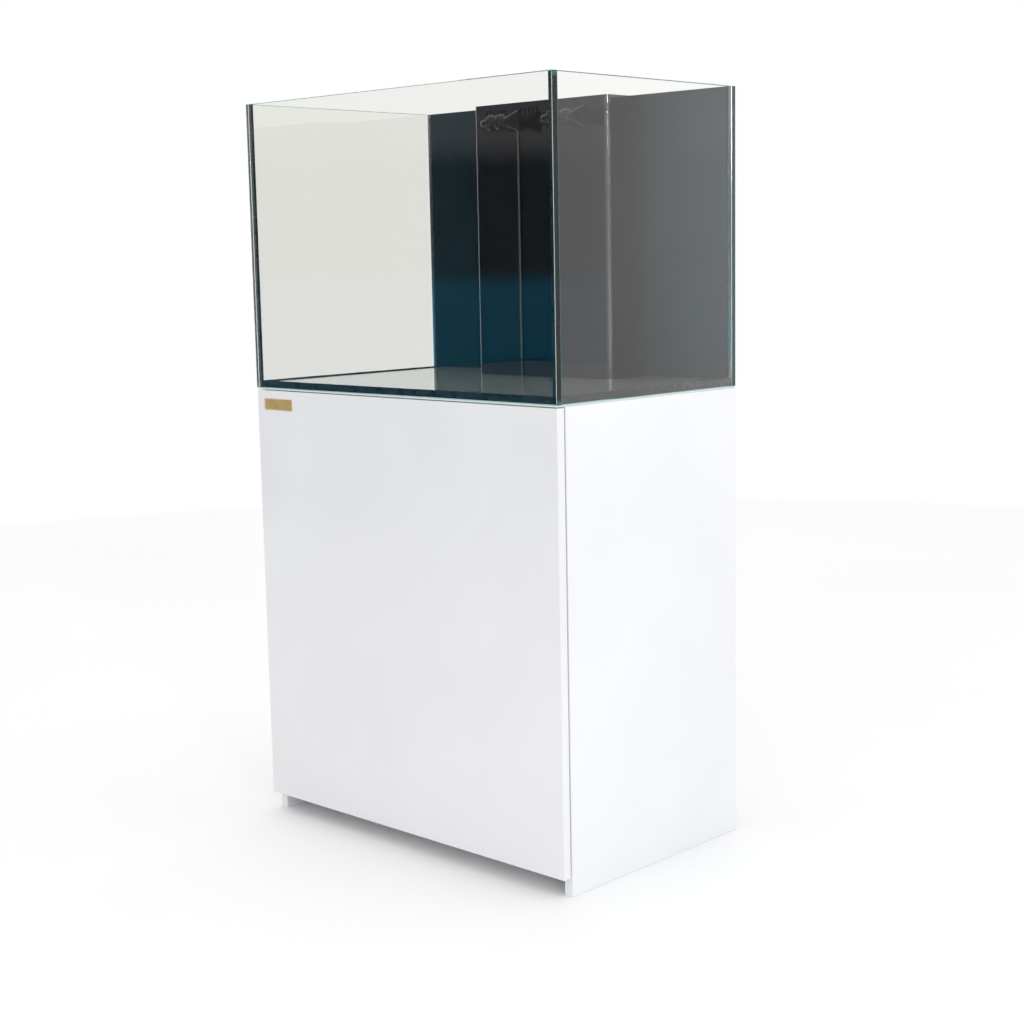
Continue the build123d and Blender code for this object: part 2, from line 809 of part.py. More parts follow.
def filter_sock():
    """Tray on the sump's rim, a ring with a grip that hangs in it, and the felt bag under the ring."""
    tray_x = (sump_x[0], tray_end)
    with BuildPart() as shelf:
        with BuildSketch(Plane.XY.offset(sump_top)):
            with Locations((middle(tray_x), middle(sump_y))):
                Rectangle(tray_x[1] - tray_x[0], sump_y[1] - sump_y[0])
            with Locations((sock_x, sock_y)):
                Circle(sock_hole, mode=Mode.SUBTRACT)
            with Locations(emergency_drop):
                Circle(pipe + 3, mode=Mode.SUBTRACT)
        extrude(amount=tray)
    save(shelf, "sock_tray")
    ring_low = sump_top + tray
    with BuildPart() as ring:
        with BuildSketch(Plane.XY.offset(ring_low)):
            with Locations((sock_x, sock_y)):
                Circle(ring_radius)
        extrude(amount=ring_height)
        fillet(ring.edges().group_by(Axis.Z)[-1], 2)
        with BuildSketch(Plane.XY.offset(ring_low)):
            with Locations((sock_x, sock_y)):
                Circle(ring_bore)
        extrude(amount=ring_height, mode=Mode.SUBTRACT)
        with BuildSketch(Plane.XZ.offset(-sock_y + 51)):
            with Locations((sock_x, ring_low + ring_height)):
                SlotOverall(40, 30)
                SlotOverall(30, 20, mode=Mode.SUBTRACT)
            with Locations((sock_x, ring_low - 10)):
                Rectangle(60, 34, mode=Mode.SUBTRACT)
        extrude(amount=-4)
    save(ring, "sock_ring")
    with BuildPart() as bag:
        with BuildSketch(Plane.XY.offset(bag_low)):
            with Locations((sock_x, sock_y)):
                Circle(bag_radius)
        extrude(amount=ring_low - bag_low)
        fillet(bag.edges().group_by(Axis.Z)[0], 5)
        with BuildSketch(Plane.XY.offset(bag_low + bag_wall)):
            with Locations((sock_x, sock_y)):
                Circle(bag_radius - bag_wall)
        extrude(amount=ring_low - bag_low - bag_wall, mode=Mode.SUBTRACT)
    save(bag, "filter_sock")


# ---------------------------------------------------------------- return pump
def along_x(x, length, radius, mode=Mode.ADD):
    """A disc on the pump's axis, from x towards +X."""
    with Locations(Location((x, pump_y, pump_z), (0, 90, 0))):
        Cylinder(radius, length, align=(Align.CENTER, Align.CENTER, Align.MIN), mode=mode)


def return_pump():
    with BuildPart() as motor:
        along_x(motor_x[0], motor_x[1] - motor_x[0], motor_radius)
        fillet(motor.edges().group_by(Axis.X)[0], 8)
        along_x(motor_x[1] - 30, 30, shaft_radius + play / 2, Mode.SUBTRACT)
    save(motor, "pump_motor")
    with BuildPart() as volute:
        along_x(volute_x[0], volute_x[1] - volute_x[0], volute_radius)
        fillet(volute.edges().filter_by(GeomType.CIRCLE), 3)
        with BuildSketch(Plane.XY.offset(pump_z)):
            with Locations((outlet_x, pump_y)):
                Circle(socket_radius)
        extrude(amount=pump_socket_top)
        with BuildSketch(Plane.XY.offset(pump_z)):
            with Locations((outlet_x, pump_y)):
                Circle(pipe + play)
        extrude(amount=pump_socket_top, mode=Mode.SUBTRACT)
        chamber = volute_x[1] - volute_x[0] - 2 * volute_wall
        along_x(volute_x[0] + volute_wall, chamber, impeller_radius + 6, Mode.SUBTRACT)
        along_x(volute_x[0], volute_wall, shaft_radius + 2, Mode.SUBTRACT)
        along_x(volute_x[1] - volute_wall, volute_wall, inlet_radius, Mode.SUBTRACT)
    save(volute, "pump_volute")
    with BuildPart() as impeller:
        along_x(volute_x[0] + 8, 3, impeller_radius)
        along_x(motor_x[1] - shaft_depth, volute_x[0] + 22 - motor_x[1] + shaft_depth, shaft_radius)
        with BuildSketch(Plane.YZ.offset(volute_x[0] + 11)):
            with Locations((pump_y, pump_z)):
                with PolarLocations(5 + blade_length / 2, blade_count):
                    Rectangle(blade_length, blade_thickness)
        extrude(amount=13)
    save(impeller, "pump_impeller")
    with BuildPart() as cage:
        along_x(volute_x[1], cage_length, cage_radius)
        fillet(cage.edges().group_by(Axis.X)[-1], 4)
        along_x(volute_x[1], cage_length - cage_wall, cage_radius - cage_wall, Mode.SUBTRACT)
        with BuildSketch(Plane.YZ.offset(volute_x[1] + 3)):
            with Locations((pump_y, pump_z)):
                with PolarLocations(cage_radius - 2, 14):
                    Rectangle(9, 4)
        extrude(amount=13, mode=Mode.SUBTRACT)
    save(cage, "pump_cage")
    with BuildPart() as cradle:
        with BuildSketch(Plane.XY.offset(sump_floor_top)):
            with Locations((middle(motor_x), pump_y)):
                Rectangle(cradle_length, cradle_width)
        extrude(amount=cradle_height)
        with BuildSketch(Plane.YZ.offset(motor_x[0])):
            with Locations((pump_y, pump_z)):
                Circle(motor_radius + 2 * play)
        extrude(amount=100, mode=Mode.SUBTRACT)
        with BuildSketch(Plane.XY.offset(sump_floor_top)):
            with Locations((middle(motor_x), pump_y)):
                Rectangle(cradle_length, cradle_width - 30)
        extrude(amount=10, mode=Mode.SUBTRACT)
    save(cradle, "pump_cradle")


# ---------------------------------------------------------------- plumbing under the tank
bulkhead_foot = tank_base - nut_height + 2.0
drain_route = [
    (drain_x, bulkhead_y, bulkhead_foot),
    (drain_x, bulkhead_y, 760.0),
    (sock_x, sock_y, 760.0),
    (sock_x, sock_y, drain_valve_z + valve_half - 20),
]
emergency_route = [
    (emergency_x, bulkhead_y, bulkhead_foot),
    (emergency_x, bulkhead_y, 700.0),
    (*emergency_drop, 700.0),
    (*emergency_drop, 380.0),
]
return_route = [
    (return_x, bulkhead_y, bulkhead_foot),
    (return_x, bulkhead_y, 740.0),
    (outlet_x, pump_y, 740.0),
    (outlet_x, pump_y, return_valve_z + valve_half - 20),
]


def fitting(before, corner, after):
    """Elbow sleeve round one bend of a pipe."""
    reach = pipe_bend + 20
    toward = (Vector(*before) - Vector(*corner)).normalized() * reach
    away = (Vector(*after) - Vector(*corner)).normalized() * reach
    ends = [Vector(*corner) + toward, Vector(*corner), Vector(*corner) + away]
    return tube([tuple(point) for point in ends], pipe_bend, pipe + sleeve, pipe + play / 2)


def plumbing():
    with BuildPart() as drains:
        add(tube(drain_route, pipe_bend, pipe, pipe_bore).part)
        add(tube(emergency_route, pipe_bend, pipe, pipe_bore).part)
    save(drains, "drain_pipes")
    save(tube(return_route, pipe_bend, pipe, pipe_bore), "return_pipe")
    with BuildPart() as tails:
        drain_tail = (400.0, drain_valve_z - valve_half + 20)
        add(rings([(sock_x, sock_y)], drain_tail, pipe, pipe_bore).part)
        return_tail = (pump_z + 50, return_valve_z - valve_half + 20)
        add(rings([(outlet_x, pump_y)], return_tail, pipe, pipe_bore).part)
    save(tails, "valve_tails")
    with BuildPart() as elbows:
        for route in (drain_route, emergency_route, return_route):
            for before, corner, after in zip(route, route[1:], route[2:]):
                add(fitting(before, corner, after).part)
    save(elbows, "pipe_elbows")


def valves():
    """Two ball valves: body with socket ends, ball, and a lever that turns the ball by its stem."""
    spots = {"drain": (sock_x, sock_y, drain_valve_z), "return": (outlet_x, pump_y, return_valve_z)}
    bore_half = valve_half - valve_socket
    lever_reach = boss_reach + 1
    with BuildPart() as bodies:
        for x, y, z in spots.values():
            with BuildSketch(Plane.XY.offset(z - valve_half)):
                with Locations((x, y)):
                    Circle(pipe + sleeve)
            extrude(amount=2 * valve_half)
            with Locations((x, y, z)):
                Sphere(valve_body)
            with BuildSketch(Plane.XZ.offset(-y)):
                with Locations((x, z)):
                    Circle(stem_boss)
            extrude(amount=boss_reach)
            for socket_z in (z - valve_half, z + valve_half - valve_socket):
                with BuildSketch(Plane.XY.offset(socket_z)):
                    with Locations((x, y)):
                        Circle(pipe + play)
                extrude(amount=valve_socket, mode=Mode.SUBTRACT)
            with BuildSketch(Plane.XY.offset(z - bore_half)):
                with Locations((x, y)):
                    Circle(valve_bore)
            extrude(amount=2 * bore_half, mode=Mode.SUBTRACT)
            with Locations((x, y, z)):
                Sphere(valve_ball + play, mode=Mode.SUBTRACT)
            with BuildSketch(Plane.XZ.offset(-y)):
                with Locations((x, z)):
                    Circle(stem + play)
            extrude(amount=boss_reach + 1, mode=Mode.SUBTRACT)
    save(bodies, "valve_bodies")
    for name, (x, y, z) in spots.items():
        with BuildPart() as core:
            with Locations((x, y, z)):
                Sphere(valve_ball)
            with BuildSketch(Plane.XZ.offset(-y)):
                with Locations((x, z)):
                    Circle(stem)
            extrude(amount=lever_reach + 3)
            with BuildSketch(Plane.XY.offset(z - bore_half)):
                with Locations((x, y)):
                    Circle(valve_bore)
            extrude(amount=2 * bore_half, mode=Mode.SUBTRACT)
        save(core, f"{name}_valve_ball")
        with BuildPart() as lever:
            with BuildSketch(Plane.XZ.offset(-y + lever_reach)):
                with Locations((x, z)):
                    SlotOverall(lever_length, lever_width, rotation=90)
                    Circle(stem_boss + 2)
            extrude(amount=lever_height)
            fillet(lever.edges().filter_by(GeomType.LINE, reverse=True), 1.5)
            with BuildSketch(Plane.XZ.offset(-y + lever_reach)):
                with Locations((x, z)):
                    Circle(stem)
            extrude(amount=3, mode=Mode.SUBTRACT)
        save(lever, f"{name}_valve_lever")
    with BuildPart() as nuts:
        for x, y, z in spots.values():
            for low in (z - valve_half, z + valve_half - union_height):
                with BuildSketch(Plane.XY.offset(low)):
                    with Locations((x, y)):
                        RegularPolygon(union_radius, 10)
                        Circle(pipe + sleeve, mode=Mode.SUBTRACT)
                extrude(amount=union_height)
    save(nuts, "union_nuts")


glass_panes()
bottom_glass()
tank_silicone()
levelling_mat()
overflow_box()
overflow_lid()
bulkheads()
standpipes()
return_riser()
for side, x in outlet_xs.items():
    outlet(side, x)
cabinet_boards()
top_and_bottom()
door()
hinge_cups()
hinge_arms()
push_latch()
sump_panes()
filter_sock()
return_pump()
plumbing()
valves()
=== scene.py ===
# %% [markdown]
# # A rimless aquarium on its white cabinet
# This lesson dresses a finished mechanical model. Every pane, board and pipe already stands in its
# place, in metres, with +Z up and the door facing -Y. What is left for Blender is what makes it
# believable: glass with green edges, lacquer that is not perfectly flat, felt, brushed metal, the
# soft pieces, the camera and the light.

# %% Load the finished frame
import json
import math

import bmesh
import bpy
from mathutils import Matrix, Vector, noise


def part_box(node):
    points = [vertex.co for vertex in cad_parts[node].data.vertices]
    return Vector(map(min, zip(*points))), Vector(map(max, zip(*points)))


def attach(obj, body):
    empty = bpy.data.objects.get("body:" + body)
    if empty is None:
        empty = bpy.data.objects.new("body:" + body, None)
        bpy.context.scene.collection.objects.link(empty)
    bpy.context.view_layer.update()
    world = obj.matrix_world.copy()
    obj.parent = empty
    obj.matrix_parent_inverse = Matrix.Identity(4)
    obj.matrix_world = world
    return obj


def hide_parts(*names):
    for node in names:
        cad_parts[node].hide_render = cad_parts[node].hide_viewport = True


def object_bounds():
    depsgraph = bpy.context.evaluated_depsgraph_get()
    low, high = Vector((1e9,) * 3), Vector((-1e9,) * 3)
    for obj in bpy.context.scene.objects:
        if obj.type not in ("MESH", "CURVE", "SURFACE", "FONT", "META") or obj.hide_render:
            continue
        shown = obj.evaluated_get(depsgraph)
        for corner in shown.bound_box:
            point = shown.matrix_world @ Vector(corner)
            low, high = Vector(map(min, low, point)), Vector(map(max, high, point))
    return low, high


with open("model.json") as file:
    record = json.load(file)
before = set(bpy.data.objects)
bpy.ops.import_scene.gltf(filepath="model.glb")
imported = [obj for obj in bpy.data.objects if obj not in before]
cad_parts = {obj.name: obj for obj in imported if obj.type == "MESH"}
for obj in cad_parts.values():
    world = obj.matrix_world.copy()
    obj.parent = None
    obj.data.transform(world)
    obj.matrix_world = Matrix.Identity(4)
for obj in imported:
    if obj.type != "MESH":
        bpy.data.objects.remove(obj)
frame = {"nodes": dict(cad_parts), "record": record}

cad_low, cad_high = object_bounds()
print("box of the frame:", [round(x, 3) for x in (*cad_low, *cad_high)])

# %% [markdown]
# ## The camera
# A tall object is easiest to read from a corner, a little below its top, so that its rim closes
# against the backdrop and both glass fronts show. The position is given from the middle of the
# floor, and the aim as a compass turn, a tilt down and a slight roll, because those are the three
# numbers that a tripod head has.

# %% Camera
eye = Vector((2.364, -2.418, 1.120))
turn, tilt, roll = math.radians(43.7), math.radians(8.43), math.radians(-1.1)

camera_data = bpy.data.cameras.new("studio_camera")
camera_data.sensor_width = 36.0
camera_data.lens = 61.7
camera = bpy.data.objects.new("studio_camera", camera_data)
bpy.context.scene.collection.objects.link(camera)
camera.matrix_world = (
    Matrix.Translation(eye)
    @ Matrix.Rotation(turn, 4, "Z")
    @ Matrix.Rotation(math.radians(90) - tilt, 4, "X")
    @ Matrix.Rotation(roll, 4, "Z")
)
bpy.context.scene.camera = camera
print("camera stands", round(eye.length, 2), "m from the middle of the floor")

# %% [markdown]
# ## Small tools for building node trees
# A material is a graph, and writing a graph by hand is mostly two moves: put a node down, and
# join a wire. These helpers do both at once. An input that is given a number keeps it as its own
# value. An input that is given another node's output is wired to it.


# %% Node helpers
def put(tree, kind, settings=None, **inputs):
    """Adds one node. settings are its properties, inputs are named by their labels."""
    made = tree.nodes.new("ShaderNode" + kind)
    for name, value in (settings or {}).items():
        setattr(made, name, value)
    for label, value in inputs.items():
        feed(tree, made.inputs[label.replace("_", " ")], value)
    return made


def feed(tree, socket, value):
    """Wires an output into a socket, or sets the socket's own value."""
    if isinstance(value, bpy.types.NodeSocket):
        tree.links.new(value, socket)
    else:
        socket.default_value = value


def sums(tree, operation, *values):
    """One Math node on one, two or three values."""
    made = put(tree, "Math", {"operation": operation})
    for socket, value in zip(made.inputs, values):
        feed(tree, socket, value)
    return made.outputs[0]


def step_between(tree, value, low, high, to_low=0.0, to_high=1.0):
    """A soft step: to_low below low, to_high above high, and a smooth curve between them."""
    made = put(tree, "MapRange", {"interpolation_type": "SMOOTHSTEP"})
    for label, given in (("Value", value), ("From Min", low), ("From Max", high)):
        feed(tree, made.inputs[label], given)
    feed(tree, made.inputs["To Min"], to_low)
    feed(tree, made.inputs["To Max"], to_high)
    return made.outputs["Result"]


def blend_colours(tree, share, first, second):
    """A colour between two others."""
    made = put(tree, "Mix", {"data_type": "RGBA"})
    for socket in made.inputs:
        given = {"Factor_Float": share, "A_Color": first, "B_Color": second}.get(socket.identifier)
        if given is not None:
            feed(tree, socket, given)
    return next(socket for socket in made.outputs if socket.type == "RGBA")


def effect(name, inputs, outputs):
    """Starts a reusable node group. Returns it with its input values and its output sockets."""
    group = bpy.data.node_groups.new(name, "ShaderNodeTree")
    for label, kind, value in inputs:
        made = group.interface.new_socket(label, in_out="INPUT", socket_type="NodeSocket" + kind)
        made.default_value = value
    for label, kind in outputs:
        group.interface.new_socket(label, in_out="OUTPUT", socket_type="NodeSocket" + kind)
    given = group.nodes.new("NodeGroupInput").outputs
    result = group.nodes.new("NodeGroupOutput").inputs
    return group, given, result


def use(tree, group, **inputs):
    """Places a node group in a material with its own values. Returns its outputs."""
    made = tree.nodes.new("ShaderNodeGroup")
    made.node_tree = group
    for label, value in inputs.items():
        feed(tree, made.inputs[label.replace("_", " ")], value)
    return made.outputs


# %% [markdown]
# ## Effects that several finishes share
# Real surfaces vary at several sizes at once. Each effect below is one node group with named
# inputs: blotches for slow change in gloss or colour, grain for the skin of moulded plastic, peel
# for sprayed or pressed gloss, wipe marks for anything that is cleaned by hand, dust for what lies
# flat, a rim mask for the narrow edges of a pane, a band along the edges of a board, and lines for
# brushed metal. They put out plain values, so that each finish decides what to do with them.

# %% Effect: slow blotches
blotches, given, result = effect(
    "slow_blotches",
    [("Scale", "Float", 6.0), ("Low", "Float", 0.0), ("High", "Float", 1.0)],
    [("Value", "Float")],
)
place = put(blotches, "TexCoord").outputs["Object"]
cloud = put(blotches, "TexNoise", Vector=place, Scale=given["Scale"], Detail=3.0).outputs[0]
spread = step_between(blotches, cloud, 0.34, 0.66, given["Low"], given["High"])
feed(blotches, result["Value"], spread)

# %% Effect: skin of moulded plastic
skin, given, result = effect(
    "moulded_skin",
    [("Scale", "Float", 900.0), ("Flow", "Float", 0.3)],
    [("Height", "Float"), ("Shade", "Float")],
)
place = put(skin, "TexCoord").outputs["Object"]
pits = put(skin, "TexVoronoi", {"feature": "SMOOTH_F1"}, Vector=place, Scale=given["Scale"]).outputs[0]
streaks = put(skin, "TexNoise", Vector=place, Scale=35.0, Detail=4.0, Distortion=0.6).outputs[0]
flow = sums(skin, "MULTIPLY", streaks, given["Flow"])
feed(skin, result["Height"], sums(skin, "ADD", pits, flow))
feed(skin, result["Shade"], step_between(skin, streaks, 0.3, 0.7))

# %% Effect: orange peel of a gloss film
peel, given, result = effect("gloss_peel", [("Scale", "Float", 260.0)], [("Height", "Float")])
place = put(peel, "TexCoord").outputs["Object"]
waves = put(peel, "TexNoise", Vector=place, Scale=given["Scale"], Detail=1.0).outputs[0]
swell = put(peel, "TexNoise", Vector=place, Scale=7.0, Detail=1.0).outputs[0]
feed(peel, result["Height"], sums(peel, "MULTIPLY_ADD", swell, 3.0, waves))

# %% Effect: wipe marks and finger smears
wipes, given, result = effect("wipe_marks", [("Amount", "Float", 1.0)], [("Mask", "Float")])
place = put(wipes, "TexCoord").outputs["Object"]
stretched = put(wipes, "Mapping", Vector=place, Rotation=(0.2, 0.5, 0.3), Scale=(9.0, 9.0, 46.0)).outputs[0]
strokes = put(wipes, "TexNoise", Vector=stretched, Scale=1.0, Detail=5.0, Distortion=1.4).outputs[0]
patches = put(wipes, "TexNoise", Vector=place, Scale=4.0, Detail=2.0).outputs[0]
shown = step_between(wipes, patches, 0.48, 0.72)
smear = sums(wipes, "MULTIPLY", step_between(wipes, strokes, 0.45, 0.75), shown)
feed(wipes, result["Mask"], sums(wipes, "MULTIPLY", smear, given["Amount"]))

# %% Effect: dust on what faces up
dust, given, result = effect("settled_dust", [("Amount", "Float", 0.5)], [("Mask", "Float")])
coordinates = put(dust, "TexCoord").outputs
upward = put(dust, "SeparateXYZ", Vector=coordinates["Normal"]).outputs["Z"]
lying = step_between(dust, upward, 0.55, 0.95)
specks = put(dust, "TexNoise", Vector=coordinates["Object"], Scale=420.0, Detail=6.0).outputs[0]
drifts = put(dust, "TexNoise", Vector=coordinates["Object"], Scale=9.0, Detail=3.0).outputs[0]
laid = sums(dust, "MULTIPLY", step_between(dust, specks, 0.40, 0.70), step_between(dust, drifts, 0.3, 0.75))
feed(dust, result["Mask"], sums(dust, "MULTIPLY", sums(dust, "MULTIPLY", laid, lying), given["Amount"]))

# %% Effect: the narrow edges of a pane
rim, given, result = effect(
    "pane_rim", [("Thin", "Vector", (0.0, 1.0, 0.0))], [("Mask", "Float"), ("Arris", "Float")]
)
facing = put(rim, "TexCoord").outputs["Normal"]
along = put(rim, "VectorMath", {"operation": "DOT_PRODUCT"})
feed(rim, along.inputs[0], facing)
feed(rim, along.inputs[1], given["Thin"])
tilted = sums(rim, "ABSOLUTE", along.outputs["Value"])
feed(rim, result["Mask"], step_between(rim, tilted, 0.9, 0.5))
rising, falling = step_between(rim, tilted, 0.45, 0.62), step_between(rim, tilted, 0.92, 0.78)
feed(rim, result["Arris"], sums(rim, "MULTIPLY", rising, falling))

# %% Effect: a band along every edge of a board
band, given, result = effect(
    "edge_band",
    [("Low", "Vector", (0.0, 0.0, 0.0)), ("High", "Vector", (1.0, 1.0, 1.0)), ("Width", "Float", 0.004)],
    [("Mask", "Float")],
)
place = put(band, "TexCoord").outputs["Object"]
gaps = []
for first, second in ((place, given["Low"]), (given["High"], place)):
    gap = put(band, "VectorMath", {"operation": "SUBTRACT"})
    feed(band, gap.inputs[0], first)
    feed(band, gap.inputs[1], second)
    gaps.append(gap.outputs[0])
nearest = put(band, "VectorMath", {"operation": "MINIMUM"})
feed(band, nearest.inputs[0], gaps[0])
feed(band, nearest.inputs[1], gaps[1])
x, y, z = put(band, "SeparateXYZ", Vector=nearest.outputs[0]).outputs
lower = sums(band, "MINIMUM", x, y)
upper = sums(band, "MINIMUM", sums(band, "MAXIMUM", x, y), z)
feed(band, result["Mask"], step_between(band, sums(band, "MAXIMUM", lower, upper), given["Width"], 0.0))

# %% Effect: brushed lines
brushed, given, result = effect(
    "brushed_lines", [("Stretch", "Vector", (40.0, 900.0, 900.0))], [("Height", "Float")]
)
place = put(brushed, "TexCoord").outputs["Object"]
lines = put(brushed, "VectorMath", {"operation": "MULTIPLY"})
feed(brushed, lines.inputs[0], place)
feed(brushed, lines.inputs[1], given["Stretch"])
drawn = put(brushed, "TexNoise", Vector=lines.outputs[0], Scale=1.0, Detail=3.0).outputs[0]
feed(brushed, result["Height"], drawn)
print("effects:", sorted(group.name for group in bpy.data.node_groups))

# %% [markdown]
# ## Glass
# Float glass is almost colourless through its face and green through its edge, because there the
# light travels a long way inside it. The faces keep a faint grey-green tint, and the rim mask turns
# the narrow ground edges teal and slightly rough. A pane also pipes light sideways to its arrises,
# the narrow bevels ground along its edges, and a weak teal emission stands for what leaves there.
# Light from the lamps is let straight through by a Transparent shader, since following it through
# twelve millimetres of glass only makes noise.


# %% Material helpers
def start(name, **values):
    """A new material with a Principled shader, whose plain inputs are set at once."""
    material = bpy.data.materials.new(name)
    material.use_nodes = True
    tree = material.node_tree
    shader = tree.nodes["Principled BSDF"]
    for label, value in values.items():
        shader.inputs[label.replace("_", " ")].default_value = value
    return material, tree, shader


def raise_surface(tree, shader, height, depth):
    """Feeds a height into the shader's normal. depth is in metres."""
    bump = put(tree, "Bump", Height=height, Distance=depth, Strength=1.0)
    feed(tree, shader.inputs["Normal"], bump.outputs["Normal"])


def paint(red, green, blue):
    return (red, green, blue, 1.0)


# %% Float glass
def float_glass(name, thin, face, edge, shadow):
    material, tree, shader = start(name, IOR=1.45, Transmission_Weight=1.0, Metallic=0.0)
    ends = use(tree, rim, Thin=thin)
    edges = ends["Mask"]
    smears = use(tree, wipes, Amount=0.012)["Mask"]
    glow = blend_colours(tree, ends["Arris"], paint(0.0, 0.0, 0.0), arris_glow)
    feed(tree, shader.inputs["Emission Color"], glow)
    shader.inputs["Emission Strength"].default_value = 1.0
    feed(tree, shader.inputs["Base Color"], blend_colours(tree, edges, face, edge))
    feed(tree, shader.inputs["Roughness"], sums(tree, "MULTIPLY_ADD", edges, 0.10, smears))
    ground = put(tree, "TexNoise", Vector=put(tree, "TexCoord").outputs["Object"], Scale=700.0).outputs[0]
    raise_surface(tree, shader, sums(tree, "MULTIPLY", ground, edges), 0.00004)
    clear = put(tree, "BsdfTransparent", Color=shadow)
    rays = put(tree, "LightPath").outputs["Is Shadow Ray"]
    both = put(tree, "MixShader")
    feed(tree, both.inputs[0], rays)
    feed(tree, both.inputs[1], shader.outputs[0])
    feed(tree, both.inputs[2], clear.outputs[0])
    feed(tree, tree.nodes["Material Output"].inputs["Surface"], both.outputs[0])
    return material


face_tint, edge_tint = paint(0.932, 0.930, 0.906), paint(0.30, 0.66, 0.62)
arris_glow = paint(0.05, 0.15, 0.135)
lamp_tint = paint(0.90, 0.93, 0.91)
thin_ways = {"x": (1.0, 0.0, 0.0), "y": (0.0, 1.0, 0.0), "z": (0.0, 0.0, 1.0)}
panes = {
    way: float_glass(f"float_glass_{way}", thin, face_tint, edge_tint, lamp_tint)
    for way, thin in thin_ways.items()
}
print("glass:", sorted(material.name for material in panes.values()))

# %% [markdown]
# The back pane is painted black behind, so no light comes through it. What shows is a deep
# blue-black with a mirror-like front, dulled here and there by wiping. Its blue-green tint is partly
# painted reflection: the base colour holds some of the teal reflection seen on it.

# %% Painted back glass
black_glass, tree, shader = start("painted_back_glass", IOR=1.5)
edges = use(tree, rim, Thin=thin_ways["y"])["Mask"]
depth_tone = use(tree, blotches, Scale=2.0, Low=0.0, High=1.0)["Value"]
# Black paint with painted reflection: the blue-green of these two tones stands in for part of the teal
# reflection.
paint_and_reflection_tone = blend_colours(tree, depth_tone, paint(0.007, 0.018, 0.024), paint(0.011, 0.026, 0.034))
feed(tree, shader.inputs["Base Color"], blend_colours(tree, edges, paint_and_reflection_tone, paint(0.015, 0.045, 0.043)))
smears = use(tree, wipes, Amount=0.05)["Mask"]
ground_or_clear = sums(tree, "MULTIPLY_ADD", edges, 0.2, 0.015)
feed(tree, shader.inputs["Roughness"], sums(tree, "ADD", ground_or_clear, smears))
raise_surface(tree, shader, use(tree, peel, Scale=30.0)["Height"], 0.000004)

# %% [markdown]
# ## Silicone, foam, rubber and felt
# Silicone is squeezed out of a gun and drawn smooth with a finger, so it is glossy in streaks.
# The mat under the tank is closed-cell foam, full of small bubbles. Felt is a mass of short
# fibres with no weave: stretched noise in two directions gives the fibres, and sheen gives the
# pale halo that they make at a grazing angle.

# %% Silicone
silicone, tree, shader = start("black_silicone", Specular_IOR_Level=0.55)
sheen_marks = use(tree, blotches, Scale=38.0, Low=0.22, High=0.48)["Value"]
body_tone = use(tree, blotches, Scale=60.0, Low=0.0, High=1.0)["Value"]
feed(tree, shader.inputs["Roughness"], sheen_marks)
tones = blend_colours(tree, body_tone, paint(0.004, 0.006, 0.008), paint(0.011, 0.015, 0.018))
feed(tree, shader.inputs["Base Color"], tones)
raise_surface(tree, shader, use(tree, peel, Scale=150.0)["Height"], 0.00012)

# %% Foam mat
foam, tree, shader = start("closed_cell_foam", Roughness=0.8, Subsurface_Weight=0.1, Subsurface_Scale=0.002)
place = put(tree, "TexCoord").outputs["Object"]
cells = put(tree, "TexVoronoi", {"feature": "F1"}, Vector=place, Scale=900.0).outputs[0]
film = use(tree, blotches, Scale=14.0, Low=0.0, High=1.0)["Value"]
bubbles = step_between(tree, cells, 0.2, 0.7)
cell_tone = blend_colours(tree, bubbles, paint(0.83, 0.85, 0.84), paint(0.70, 0.74, 0.73))
greyed = sums(tree, "MULTIPLY", film, 0.25)
feed(tree, shader.inputs["Base Color"], blend_colours(tree, greyed, cell_tone, paint(0.62, 0.70, 0.69)))
raise_surface(tree, shader, cells, 0.0004)

# %% Needle felt
felt, tree, shader = start("needle_felt", Sheen_Weight=0.5, Sheen_Roughness=0.6, Specular_IOR_Level=0.2)
place = put(tree, "TexCoord").outputs["Object"]
fibres = []
for scale in ((260.0, 260.0, 1500.0), (1400.0, 1400.0, 240.0)):
    laid = put(tree, "Mapping", Vector=place, Rotation=(0.3, 0.4, 0.6), Scale=scale).outputs[0]
    fibres.append(put(tree, "TexNoise", Vector=laid, Scale=1.0, Detail=3.0, Distortion=0.5).outputs[0])
tangle = sums(tree, "MAXIMUM", *fibres)
stain = use(tree, blotches, Scale=11.0, Low=0.0, High=0.35)["Value"]
raised = step_between(tree, tangle, 0.45, 0.7)
fresh = blend_colours(tree, raised, paint(0.70, 0.70, 0.67), paint(0.90, 0.90, 0.88))
feed(tree, shader.inputs["Base Color"], blend_colours(tree, stain, fresh, paint(0.66, 0.64, 0.56)))
feed(tree, shader.inputs["Roughness"], step_between(tree, tangle, 0.4, 0.7, 0.95, 0.8))
raise_surface(tree, shader, tangle, 0.0011)

# %% [markdown]
# ## Plastics
# Pipes, fittings, pump and nozzles are all moulded or extruded polymer. One recipe serves them all,
# because the difference between a grey pipe and a red lever is its colour, its gloss and how coarse
# the skin of the mould was. Dust gathers on the upper sides and makes them paler and duller.


# %% Moulded plastic recipe
def moulded(name, dark, light, gloss, skin_scale=900.0, skin_depth=0.00006, dusty=0.25, **extra):
    material, tree, shader = start(name, **extra)
    surface = use(tree, skin, Scale=skin_scale, Flow=0.35)
    lying = use(tree, dust, Amount=dusty)["Mask"]
    marks = use(tree, blotches, Scale=24.0, Low=gloss[0], High=gloss[1])["Value"]
    tone = blend_colours(tree, surface["Shade"], paint(*dark), paint(*light))
    feed(tree, shader.inputs["Base Color"], blend_colours(tree, lying, tone, paint(0.45, 0.44, 0.42)))
    feed(tree, shader.inputs["Roughness"], sums(tree, "MULTIPLY_ADD", lying, 0.4, marks))
    raise_surface(tree, shader, surface["Height"], skin_depth)
    return material


